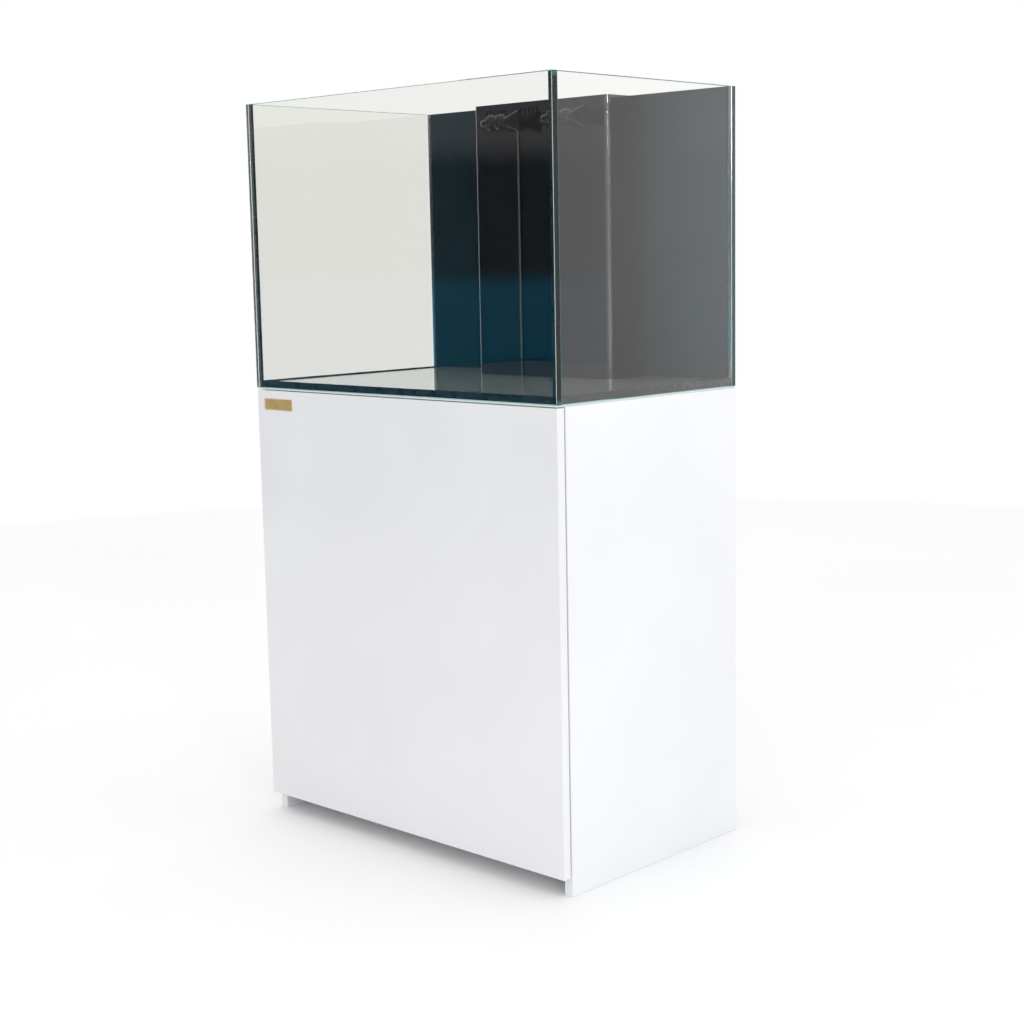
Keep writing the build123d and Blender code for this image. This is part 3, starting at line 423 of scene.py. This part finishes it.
finishes = {
    "black_plastic": moulded(
        "black_abs", (0.004, 0.004, 0.0045), (0.008, 0.008, 0.009), (0.10, 0.20), 1200.0, 0.00002,
        dusty=0.05, IOR=1.3,
    ),
    "rubber": moulded("black_rubber", (0.014, 0.014, 0.014), (0.028, 0.028, 0.027), (0.55, 0.75), 1400.0),
    "grey_pvc": moulded("grey_pvc_pipe", (0.20, 0.215, 0.23), (0.27, 0.285, 0.30), (0.24, 0.40), 500.0),
    "dark_pvc": moulded(
        "dark_pvc_fitting", (0.065, 0.070, 0.078), (0.10, 0.106, 0.115), (0.22, 0.38), 700.0
    ),
    "grey_plastic": moulded("grey_nylon", (0.40, 0.41, 0.42), (0.52, 0.53, 0.54), (0.35, 0.5)),
    "white_plastic": moulded("white_polypropylene", (0.74, 0.74, 0.72), (0.84, 0.84, 0.83), (0.28, 0.42)),
    "blue_grey_plastic": moulded(
        "blue_grey_casing", (0.055, 0.075, 0.105), (0.085, 0.11, 0.15), (0.25, 0.42), 650.0, 0.0001
    ),
    "red_plastic": moulded("red_lever_plastic", (0.42, 0.024, 0.018), (0.56, 0.040, 0.028), (0.2, 0.36)),
    "clear_rubber": moulded(
        "soft_clear_dots", (0.70, 0.73, 0.73), (0.82, 0.84, 0.84), (0.2, 0.35), dusty=0.1,
        Transmission_Weight=0.4, Subsurface_Weight=0.0,
    ),
}
print("moulded finishes:", len(finishes))

# %% [markdown]
# The overflow box, its lid and the sock tray are cut and bent from black acrylic sheet. It is as
# glossy as glass, but it scratches, so the wipe marks show as a soft change of gloss, and what
# faces up, such as the lid, carries a little dust.

# %% Black acrylic
acrylic, tree, shader = start("black_acrylic_sheet", IOR=1.49, Coat_Weight=0.8, Coat_Roughness=0.02)
smears = use(tree, wipes, Amount=0.03)["Mask"]
lying = use(tree, dust, Amount=0.22)["Mask"]
gloss = use(tree, blotches, Scale=3.0, Low=0.012, High=0.028)["Value"]
tone = use(tree, blotches, Scale=1.7, Low=0.0, High=1.0)["Value"]
sheet_tone = blend_colours(tree, tone, paint(0.0018, 0.0021, 0.0026), paint(0.0040, 0.0044, 0.0052))
feed(tree, shader.inputs["Base Color"], blend_colours(tree, lying, sheet_tone, paint(0.16, 0.16, 0.155)))
dusted = sums(tree, "MULTIPLY_ADD", lying, 0.3, gloss)
feed(tree, shader.inputs["Roughness"], sums(tree, "ADD", dusted, smears))
raise_surface(tree, shader, use(tree, peel, Scale=60.0)["Height"], 0.00001)
finishes.update(
    black_acrylic=acrylic, black_glass=black_glass, silicone=silicone, foam=foam, felt=felt
)

# %% [markdown]
# ## The white cabinet
# The boards are pressed with a gloss white film. It is smooth but never a mirror: it keeps a faint
# orange peel, it is a touch duller where hands clean it, and along every edge the film is
# thinner and a little cooler. The band along the edges needs each board's own box, so every board
# gets its own copy of the recipe.


# %% White film recipe
def white_film(node, tone_low, tone_high, gloss):
    material, tree, shader = start(f"white_film_{node}", Coat_Roughness=0.08, Specular_IOR_Level=0.45)
    low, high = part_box(node)
    edges = use(tree, band, Low=low, High=high, Width=0.0022)["Mask"]
    slow = use(tree, blotches, Scale=2.4, Low=0.0, High=1.0)["Value"]
    smears = use(tree, wipes, Amount=0.003)["Mask"]
    lying = use(tree, dust, Amount=0.10)["Mask"]
    tone = blend_colours(tree, slow, paint(*tone_low), paint(*tone_high))
    edged = blend_colours(tree, sums(tree, "MULTIPLY", edges, 0.55), tone, paint(0.70, 0.73, 0.76))
    feed(tree, shader.inputs["Base Color"], blend_colours(tree, lying, edged, paint(0.62, 0.61, 0.59)))
    shine = use(tree, blotches, Scale=5.0, Low=gloss[0], High=gloss[1])["Value"]
    feed(tree, shader.inputs["Roughness"], sums(tree, "ADD", shine, smears))
    feed(tree, shader.inputs["Coat Weight"], sums(tree, "SUBTRACT", 0.20, smears))
    raise_surface(tree, shader, use(tree, peel, Scale=240.0)["Height"], 0.000012)
    return material


# %% [markdown]
# ## Metals
# Three metals appear: brushed gold on the plate, nickel on the hinges and zinc on screws and cam
# locks. Brushing is noise pulled out into long lines. Zinc has no lines but a patchy, crystalline
# dullness.


# %% Metal recipe
def metal(name, dark, light, gloss, stretch, depth, marks=18.0):
    material, tree, shader = start(name, Metallic=1.0)
    lines = use(tree, brushed, Stretch=stretch)["Height"]
    patch = use(tree, blotches, Scale=marks, Low=0.0, High=1.0)["Value"]
    tone = blend_colours(tree, patch, paint(*dark), paint(*light))
    grooves = step_between(tree, lines, 0.35, 0.65, 0.0, 0.5)
    feed(tree, shader.inputs["Base Color"], blend_colours(tree, grooves, tone, paint(*dark)))
    feed(tree, shader.inputs["Roughness"], step_between(tree, lines, 0.3, 0.7, gloss[0], gloss[1]))
    raise_surface(tree, shader, lines, depth)
    return material


finishes["nickel"] = metal(
    "nickel_plate", (0.46, 0.45, 0.42), (0.66, 0.64, 0.60), (0.16, 0.30), (300.0, 300.0, 40.0), 0.000006
)
finishes["steel"] = metal(
    "zinc_plate", (0.38, 0.39, 0.40), (0.60, 0.60, 0.59), (0.28, 0.46), (220.0, 220.0, 220.0), 0.00001,
    marks=160.0,
)
finishes["gold_plate"] = metal(
    "brushed_gold", (0.78, 0.52, 0.20), (0.90, 0.65, 0.30), (0.34, 0.50), (60.0, 900.0, 2600.0), 0.000008,
    marks=40.0,
)
print("finishes:", sorted(finishes))

# %% [markdown]
# ## Every part gets its finish
# The model's record says which finish each part has. Glass depends on which way a pane is thin, and
# a board's film depends on the board, so those two are made to measure.

# %% Assign finishes to the carried-over parts
finish_of = {part["node"]: part["material_slot"] for part in frame["record"]["subparts"]}


def thin_way(node):
    low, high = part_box(node)
    size = high - low
    return min("xyz", key=lambda way: getattr(size, way))


sump_ways = {"sump_long_panes": "y", "sump_end_panes": "x", "sump_floor": "z", "sump_baffles": "x"}
for node, made in frame["nodes"].items():
    slot_name = finish_of[node]
    if slot_name in ("clear_glass", "sump_glass"):
        material = panes[sump_ways.get(node) or thin_way(node)]
    elif slot_name == "white_board":
        material = white_film(node, (0.80, 0.815, 0.84), (0.83, 0.845, 0.865), (0.20, 0.27))
    elif slot_name == "white_door":
        material = white_film(node, (0.79, 0.79, 0.805), (0.82, 0.822, 0.835), (0.18, 0.25))
    else:
        material = finishes[slot_name]
    for holder in made.material_slots:
        holder.material = material
print("parts dressed:", len(finish_of))

# %% [markdown]
# ## Soft and squeezed pieces
# Four parts of the frame are only stand-ins for their shape: silicone, foam, felt and the
# small plate. Each is built again here with the irregular edge or the fine step that it has in
# life. A piece is made from rings of points joined by quads, which covers almost every shape here.


# %% Mesh helpers
def finished_piece(name, mesh, material, body, stands_for, smooth=True):
    """Puts a bmesh into the scene as a piece that rides on a body."""
    bmesh.ops.recalc_face_normals(mesh, faces=mesh.faces)
    data = bpy.data.meshes.new(name)
    mesh.to_mesh(data)
    mesh.free()
    for face in data.polygons:
        face.use_smooth = smooth
    data.materials.append(material)
    made = bpy.data.objects.new(name, data)
    bpy.context.scene.collection.objects.link(made)
    if stands_for:
        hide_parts(*stands_for)
    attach(made, body)
    return made


def ring_of(mesh, points):
    return [mesh.verts.new(point) for point in points]


def join_rings(mesh, first, second):
    count = len(first)
    for i in range(count):
        j = (i + 1) % count
        mesh.faces.new((first[i], first[j], second[j], second[i]))


def soften(made, width):
    """Rounds the edges of a finished piece and keeps its flat faces flat."""
    bevel = made.modifiers.new("soft_edges", "BEVEL")
    bevel.width, bevel.segments = width, 2
    bevel.limit_method, bevel.angle_limit = "ANGLE", math.radians(35.0)
    bevel.harden_normals = True


def wander(x, y, z, scale):
    """Smooth repeatable unevenness between -1 and 1."""
    return noise.noise(Vector((x, y, z)) * scale)


# %% [markdown]
# ### Silicone in the corners
# Between two panes the silicone is a strip one millimetre thick, and inside the corner it ends in a
# small hollow bead, as wide as the finger or tool that smoothed it. The bead is drawn as an arc
# whose radius wanders a little along the joint. It keeps a hair's breadth off the glass, so that
# the two surfaces don't fight for the same place.

# %% Silicone seams
half_x, wall_x = cad_high.x, -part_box("left_glass")[1].x
wall_y, end_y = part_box("back_glass")[0].y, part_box("left_glass")[1].y
pane_base, pane_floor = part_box("bottom_glass")[0].z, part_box("bottom_glass")[1].z
hair, strip, bead, recess = 0.00006, 0.0009, 0.0022, 0.0009
bead_steps, bead_spacing = 6, 0.012
bead_drift, bead_waves = 0.14, 22.0


def hollow(radius):
    """Points of a quarter circle that hollows the bead, from one wall to the other."""
    turns = [math.pi / 2 * i / bead_steps for i in range(bead_steps + 1)]
    return [(radius - radius * math.sin(a), radius - radius * math.cos(a)) for a in turns]


def corner_ring(mesh, side_x, side_y, z, radius):
    outline = [(half_x - recess, wall_y - hair)]
    outline += [(wall_x - max(dx, hair), wall_y - max(dy, hair)) for dx, dy in hollow(radius)]
    outline += [(wall_x - hair, end_y + hair), (half_x - recess, end_y + hair)]
    return ring_of(mesh, [(side_x * x, side_y * y, z) for x, y in outline])


def floor_ring(mesh, point, inward, radius):
    low = pane_base + recess
    outline = [(hair, low)]
    outline += [(max(d, hair), pane_floor + max(h, hair)) for h, d in hollow(radius)]
    outline += [(strip, pane_floor + hair), (strip, low)]
    return ring_of(mesh, [(point[0] + inward[0] * d, point[1] + inward[1] * d, z) for d, z in outline])


def stepped(first, last, spacing):
    count = max(1, round(abs(last - first) / spacing))
    return [first + (last - first) * i / count for i in range(count + 1)]


seams = bmesh.new()
for side_x in (-1, 1):
    for side_y in (-1, 1):
        levels = [(pane_base + recess, strip), (pane_floor - hair, strip)]
        for z in stepped(pane_floor + hair, cad_high.z - 0.001, bead_spacing):
            levels.append((z, bead * (1 + bead_drift * wander(side_x * 3, side_y * 3, z, bead_waves))))
        rings = [corner_ring(seams, side_x, side_y, z, radius) for z, radius in levels]
        for lower, upper in zip(rings, rings[1:]):
            join_rings(seams, lower, upper)
        seams.faces.new(rings[0])
        seams.faces.new(rings[-1])
box_low, box_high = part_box("overflow_box")
corners = [
    (box_low.x - hair, wall_y),
    (-wall_x, wall_y),
    (-wall_x, -wall_y),
    (wall_x, -wall_y),
    (wall_x, wall_y),
    (box_high.x + hair, wall_y),
]
route = []
for (x1, y1), (x2, y2) in zip(corners, corners[1:]):
    inward = (0, -math.copysign(1, y1)) if y1 == y2 else (-math.copysign(1, x1), 0)
    spots = stepped(0.0, 1.0, bead_spacing / max(abs(x2 - x1), abs(y2 - y1)))
    route += [((x1 + (x2 - x1) * t, y1 + (y2 - y1) * t), inward) for t in spots[(1 if route else 0):-1]]
    mitred = (-math.copysign(1, x2), -math.copysign(1, y2))
    route.append(((x2, y2), mitred if abs(x2) == wall_x else inward))
rings = [
    floor_ring(seams, p, inward, bead * (1 + bead_drift * wander(*p, 0, bead_waves)))
    for p, inward in route
]
for first, second in zip(rings, rings[1:]):
    join_rings(seams, first, second)
seams.faces.new(rings[0])
seams.faces.new(rings[-1])
seam_piece = finished_piece(
    "silicone_seams", seams, silicone, "stand", ["tank_silicone"], smooth=False
)
print("silicone faces:", len(seam_piece.data.polygons))

# %% [markdown]
# ### The foam mat
# The mat is cut from a sheet with a knife, so its edge is never quite straight. A grid is easy to
# cut a hole in: the squares over the pipe fittings are simply left out. A Solidify modifier then
# gives it its three millimetres.

# %% Foam mat
mat_low, mat_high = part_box("levelling_mat")
nuts_low, nuts_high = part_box("bulkhead_nuts")
hole_x, hole_low, hole_high = nuts_high.x + 0.008, nuts_low.y - 0.004, nuts_high.y + 0.004
mat_top = mat_high.z - hair
square, knife_drift = 0.012, 0.0007
columns = stepped(mat_low.x, -hole_x, square) + stepped(-hole_x, hole_x, square)[1:]
columns += stepped(hole_x, mat_high.x, square)[1:]
rows = stepped(mat_low.y, hole_low, square) + stepped(hole_low, hole_high, square)[1:] + [mat_high.y]
mat_mesh = bmesh.new()
grid = {}
for i, x in enumerate(columns):
    for j, y in enumerate(rows):
        drift = knife_drift * wander(x, y, 0.0, 30.0)
        edge_x = drift if i in (0, len(columns) - 1) else 0.0
        edge_y = drift if j in (0, len(rows) - 1) else 0.0
        grid[i, j] = mat_mesh.verts.new((x + edge_x, y + edge_y, mat_top))
for i in range(len(columns) - 1):
    for j in range(len(rows) - 1):
        mid_x, mid_y = (columns[i] + columns[i + 1]) / 2, (rows[j] + rows[j + 1]) / 2
        if abs(mid_x) > hole_x or not hole_low < mid_y < hole_high:
            mat_mesh.faces.new((grid[i, j], grid[i + 1, j], grid[i + 1, j + 1], grid[i, j + 1]))
mat_piece = finished_piece(
    "foam_mat", mat_mesh, foam, "stand", ["levelling_mat"], smooth=False
)
thickness = mat_piece.modifiers.new("thickness", "SOLIDIFY")
thickness.thickness, thickness.offset = mat_high.z - mat_low.z - 2 * hair, -1.0
print("foam mat:", len(mat_piece.data.polygons), "squares")

# %% [markdown]
# ### The felt sock
# A filter sock is a tube of felt, sewn down one side and round its base, and heat-welded to its
# ring. Empty, it sags into a few long soft folds that fade out near the ring. The folds are a sum
# of slow waves around the tube, the wrinkles are noise, and the two seams are raised ridges with a
# row of stitches beside the long one.

# %% Felt sock
sock_low, sock_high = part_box("filter_sock")
sock_x, sock_y = (sock_low.x + sock_high.x) / 2, (sock_low.y + sock_high.y) / 2
sock_radius = (sock_high.x - sock_low.x) / 2 - 0.0012
sock_length = sock_high.z - sock_low.z
around, level_count = 120, 84
seam_turn, base_radius = -math.pi / 2, 0.02
sag_length, fold_depth, wrinkle_depth, play = 0.07, 0.0042, 0.0008, 0.0012
ridge_height, ridge_reach = 0.0011, 0.0045
lip_height, lip_place, lip_reach = 0.0010, 0.026, 0.0022


def sock_point(turn, share, extra=0.0):
    """A point of the sock's outside. share is 0 at the ring and 1 at the base."""
    depth = share * sock_length
    from_base = sock_length - depth
    slack = math.sin(min(1.0, depth / sag_length) * math.pi / 2)
    wide = math.sin(3 * turn + 0.8 + 2.0 * share)
    narrow = math.sin(7 * turn + 2.1 - 3.0 * share)
    folds = 0.5 + 0.3 * wide + 0.2 * narrow
    x, y = math.cos(turn), math.sin(turn)
    wrinkle = wander(x * 0.05, y * 0.05, depth, 60.0) * wrinkle_depth
    away = abs(math.remainder(turn - seam_turn, 2 * math.pi)) * sock_radius
    ridge = ridge_height * max(0.0, 1 - (away / ridge_reach) ** 2)
    radius = sock_radius - play - slack * (fold_depth * folds - wrinkle) + ridge * slack + extra
    if from_base < base_radius:
        radius -= base_radius - math.sqrt(base_radius**2 - (base_radius - from_base) ** 2)
    lip = lip_height * math.exp(-(((from_base - lip_place) / lip_reach) ** 2))
    return (sock_x + x * (radius + lip), sock_y + y * (radius + lip), sock_high.z - hair - depth)


sock = bmesh.new()
rings = []
for level in range(level_count + 1):
    share = level / level_count
    share = share if share < 0.9 else 0.9 + 0.1 * math.sin((share - 0.9) / 0.1 * math.pi / 2)
    rings.append(ring_of(sock, [sock_point(2 * math.pi * i / around, share) for i in range(around)]))
for upper, lower in zip(rings, rings[1:]):
    join_rings(sock, upper, lower)
last = [vertex.co.copy() for vertex in rings[-1]]
centre = Vector((sock_x, sock_y, last[0].z + 0.0004))
for share in (0.75, 0.5, 0.25):
    inner_ring = ring_of(sock, [centre + (point - centre) * share for point in last])
    join_rings(sock, rings[-1], inner_ring)
    rings.append(inner_ring)
middle_point = sock.verts.new(centre)
for i in range(around):
    sock.faces.new((rings[-1][i], rings[-1][(i + 1) % around], middle_point))
sock_piece = finished_piece("felt_sock", sock, felt, "filter_sock", ["filter_sock"])
wall = sock_piece.modifiers.new("felt_thickness", "SOLIDIFY")
wall.thickness, wall.offset = 0.0024, -1.0

# %% Sock stitches
thread, tree, shader = start("white_sewing_thread", Roughness=0.6, Sheen_Weight=0.2)
twist = use(tree, brushed, Stretch=(2600.0, 2600.0, 900.0))["Height"]
strands = blend_colours(tree, twist, paint(0.60, 0.60, 0.58), paint(0.92, 0.92, 0.90))
feed(tree, shader.inputs["Base Color"], strands)
raise_surface(tree, shader, twist, 0.0002)
stitches = bmesh.new()
stitch_size = Matrix.Diagonal((0.0006, 0.0006, 0.0019, 1.0))
for row in (-0.0032, 0.0032):
    for share in stepped(0.05, 0.86, 0.026):
        spot = Vector(sock_point(seam_turn + row / sock_radius, share, 0.0003))
        shape = Matrix.Translation(spot) @ Matrix.Rotation(0.25, 4, "Y") @ stitch_size
        bmesh.ops.create_icosphere(stitches, subdivisions=2, radius=1.0, matrix=shape)
stitch_piece = finished_piece("sock_stitches", stitches, thread, "filter_sock", [])
print("sock:", len(sock_piece.data.polygons), "faces,", len(stitch_piece.data.polygons), "in its stitches")

# %% [markdown]
# ### The plate on the door
# The small gold plate is stamped: a flat rim, a step down, and a sunk field. It carries no
# lettering here, only a fine line pressed round the field. Nested outlines, each a rounded
# rectangle at its own depth, make the whole relief.

# %% Gold plate
plate_low, plate_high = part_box("badge_plate")
plate_x, plate_z = (plate_low.x + plate_high.x) / 2, (plate_low.z + plate_high.z) / 2
plate_half_x, plate_half_z = (plate_high.x - plate_low.x) / 2, (plate_high.z - plate_low.z) / 2


def rounded_outline(half_width, half_height, radius, y):
    points = []
    for quarter, (side_x, side_z) in enumerate(((1, 1), (-1, 1), (-1, -1), (1, -1))):
        for i in range(9):
            turn = math.pi / 2 * (quarter + i / 8)
            points.append((
                plate_x + side_x * (half_width - radius) + radius * math.cos(turn),
                y,
                plate_z + side_z * (half_height - radius) + radius * math.sin(turn),
            ))
    return points


face_y, back_y = plate_low.y, plate_high.y - hair
field_y, line_y = face_y + 0.00035, face_y + 0.0005
relief = [  # inset from the outline, depth, corner radius
    (0.0, back_y, 0.0022),
    (0.0, face_y + 0.0003, 0.0022),
    (0.0003, face_y, 0.0019),
    (0.0012, face_y, 0.0012),
    (0.0015, field_y, 0.0010),
    (0.0021, field_y, 0.0008),
    (0.0023, line_y, 0.0007),
    (0.0026, line_y, 0.0006),
    (0.0028, field_y, 0.0005),
]
plate = bmesh.new()
rings = [
    ring_of(plate, rounded_outline(plate_half_x - inset, plate_half_z - inset, radius, y))
    for inset, y, radius in relief
]
for outer, inner in zip(rings, rings[1:]):
    join_rings(plate, outer, inner)
plate.faces.new(rings[0])
plate.faces.new(rings[-1])
finished_piece(
    "gold_plate", plate, finishes["gold_plate"], "door", ["badge_plate"], smooth=False
)
print("plate:", round(2000 * plate_half_x), "by", round(2000 * plate_half_z), "mm")

# %% [markdown]
# ## Soft edges
# Nothing made of board, sheet or metal has a perfectly sharp edge, and an edge with no width
# catches no light. A Bevel modifier rounds them by a few tenths of a millimetre, without touching
# the parts themselves.

# %% Soft edges on flat parts
for node in ("left_side", "right_side", "cabinet_top", "cabinet_bottom", "back_panel", "front_rail"):
    soften(frame["nodes"][node], 0.0005)
for node in ("overflow_lid", "sock_tray", "outlet_nuts", "bulkhead_nuts", "union_nuts", "hinge_arms"):
    soften(frame["nodes"][node], 0.0004)

# %% [markdown]
# ## The studio
# Glass shows its surroundings more than itself, so the room matters as much as the lamps. The
# backdrop and the floor are white, and the room to the right is bright, which lays a pale veil over
# the right pane. To the front left the room is dark, with a low blue-green band, so the front pane
# stays deep and clear. All of it is in the world's colour, as a function of direction.

# %% Floor
floor_mesh = bmesh.new()
floor_radius, floor_rings = 4.6, 12
previous = [floor_mesh.verts.new((0.0, 0.0, 0.0))]
for i in range(1, floor_rings + 1):
    radius = floor_radius * i / floor_rings
    turns = stepped(0, 2 * math.pi, 0.1)[:-1]
    ring = ring_of(floor_mesh, [(radius * math.cos(a), radius * math.sin(a), 0.0) for a in turns])
    if len(previous) == 1:
        for j in range(len(ring)):
            floor_mesh.faces.new((previous[0], ring[j], ring[(j + 1) % len(ring)]))
    else:
        join_rings(floor_mesh, previous, ring)
    previous = ring
bmesh.ops.recalc_face_normals(floor_mesh, faces=floor_mesh.faces)
floor_data = bpy.data.meshes.new("studio_floor")
floor_mesh.to_mesh(floor_data)
floor_mesh.free()
floor = bpy.data.objects.new("studio_floor", floor_data)
bpy.context.scene.collection.objects.link(floor)
floor_finish, tree, shader = start("pale_floor", Roughness=0.6, Specular_IOR_Level=0.2)
slow = use(tree, blotches, Scale=0.8, Low=0.0, High=1.0)["Value"]
floor_tone = blend_colours(tree, slow, paint(0.962, 0.962, 0.962), paint(0.978, 0.978, 0.978))
feed(tree, shader.inputs["Base Color"], floor_tone)
floor_data.materials.append(floor_finish)

# %% Room
room = bpy.data.worlds.new("studio_room")
room.use_nodes = True
bpy.context.scene.world = room
tree = room.node_tree
way = put(tree, "TexCoord").outputs["Generated"]
height = put(tree, "SeparateXYZ", Vector=way).outputs["Z"]


def toward(direction):
    made = put(tree, "VectorMath", {"operation": "DOT_PRODUCT"})
    feed(tree, made.inputs[0], way)
    feed(tree, made.inputs[1], Vector(direction).normalized())
    return made.outputs["Value"]


bright = step_between(tree, toward((0.47, 0.88, 0.03)), 0.972, 0.995, 1.0, 1.42)
white_room = put(tree, "CombineColor", Red=bright, Green=bright, Blue=bright).outputs[0]
low_band = step_between(tree, height, -0.022, -0.008, 1.0, 0.0)
high_band = step_between(tree, height, 0.045, 0.065)
dark_low = blend_colours(tree, low_band, paint(0.012, 0.02, 0.03), paint(0.004, 0.15, 0.27))
dark_room = blend_colours(tree, high_band, dark_low, paint(0.20, 0.205, 0.22))
dark_share = step_between(tree, toward((-0.66, -0.75, 0.0)), 0.88, 0.95)
lit = blend_colours(tree, dark_share, white_room, dark_room)
feed(tree, tree.nodes["Background"].inputs["Color"], lit)
tree.nodes["Background"].inputs["Strength"].default_value = 1.0

# %% [markdown]
# Two large softboxes fill in from above. A narrow strip to the right draws a line of light down the
# bent edge of the overflow box, and a short lamp beside its upper end makes the top of that line
# brighter. A grid keeps the short lamp's light in a narrow cone, so that it misses the cabinet.


# %% Lamps
def softbox(name, place, aim, width, height_m, watts, spread=math.pi):
    """A rectangular lamp that faces a point. A grid narrows its spread, an angle in radians."""
    data = bpy.data.lights.new(name, "AREA")
    data.shape, data.size, data.size_y = "RECTANGLE", width, height_m
    data.energy, data.spread = watts, spread
    made = bpy.data.objects.new(name, data)
    bpy.context.scene.collection.objects.link(made)
    made.location = place
    made.rotation_euler = (Vector(aim) - Vector(place)).to_track_quat("-Z", "Y").to_euler()


middle = (0.0, 0.0, 0.8)
softbox("key", (2.6, -1.6, 3.0), middle, 1.6, 1.6, 3.0)
softbox("overhead", (0.0, 0.2, 3.8), middle, 2.4, 2.4, 9.0)
softbox("edge_strip", (3.2, -1.85, 1.15), (0.1, 0.1, 1.15), 0.18, 1.1, 15.0)
softbox(
    "edge_glint", (3.2, -1.85, 1.60), (0.1, 0.1, 1.34), 0.18, 0.36, 0.2, spread=math.radians(16.0)
)
bpy.context.scene.view_settings.view_transform = "Standard"
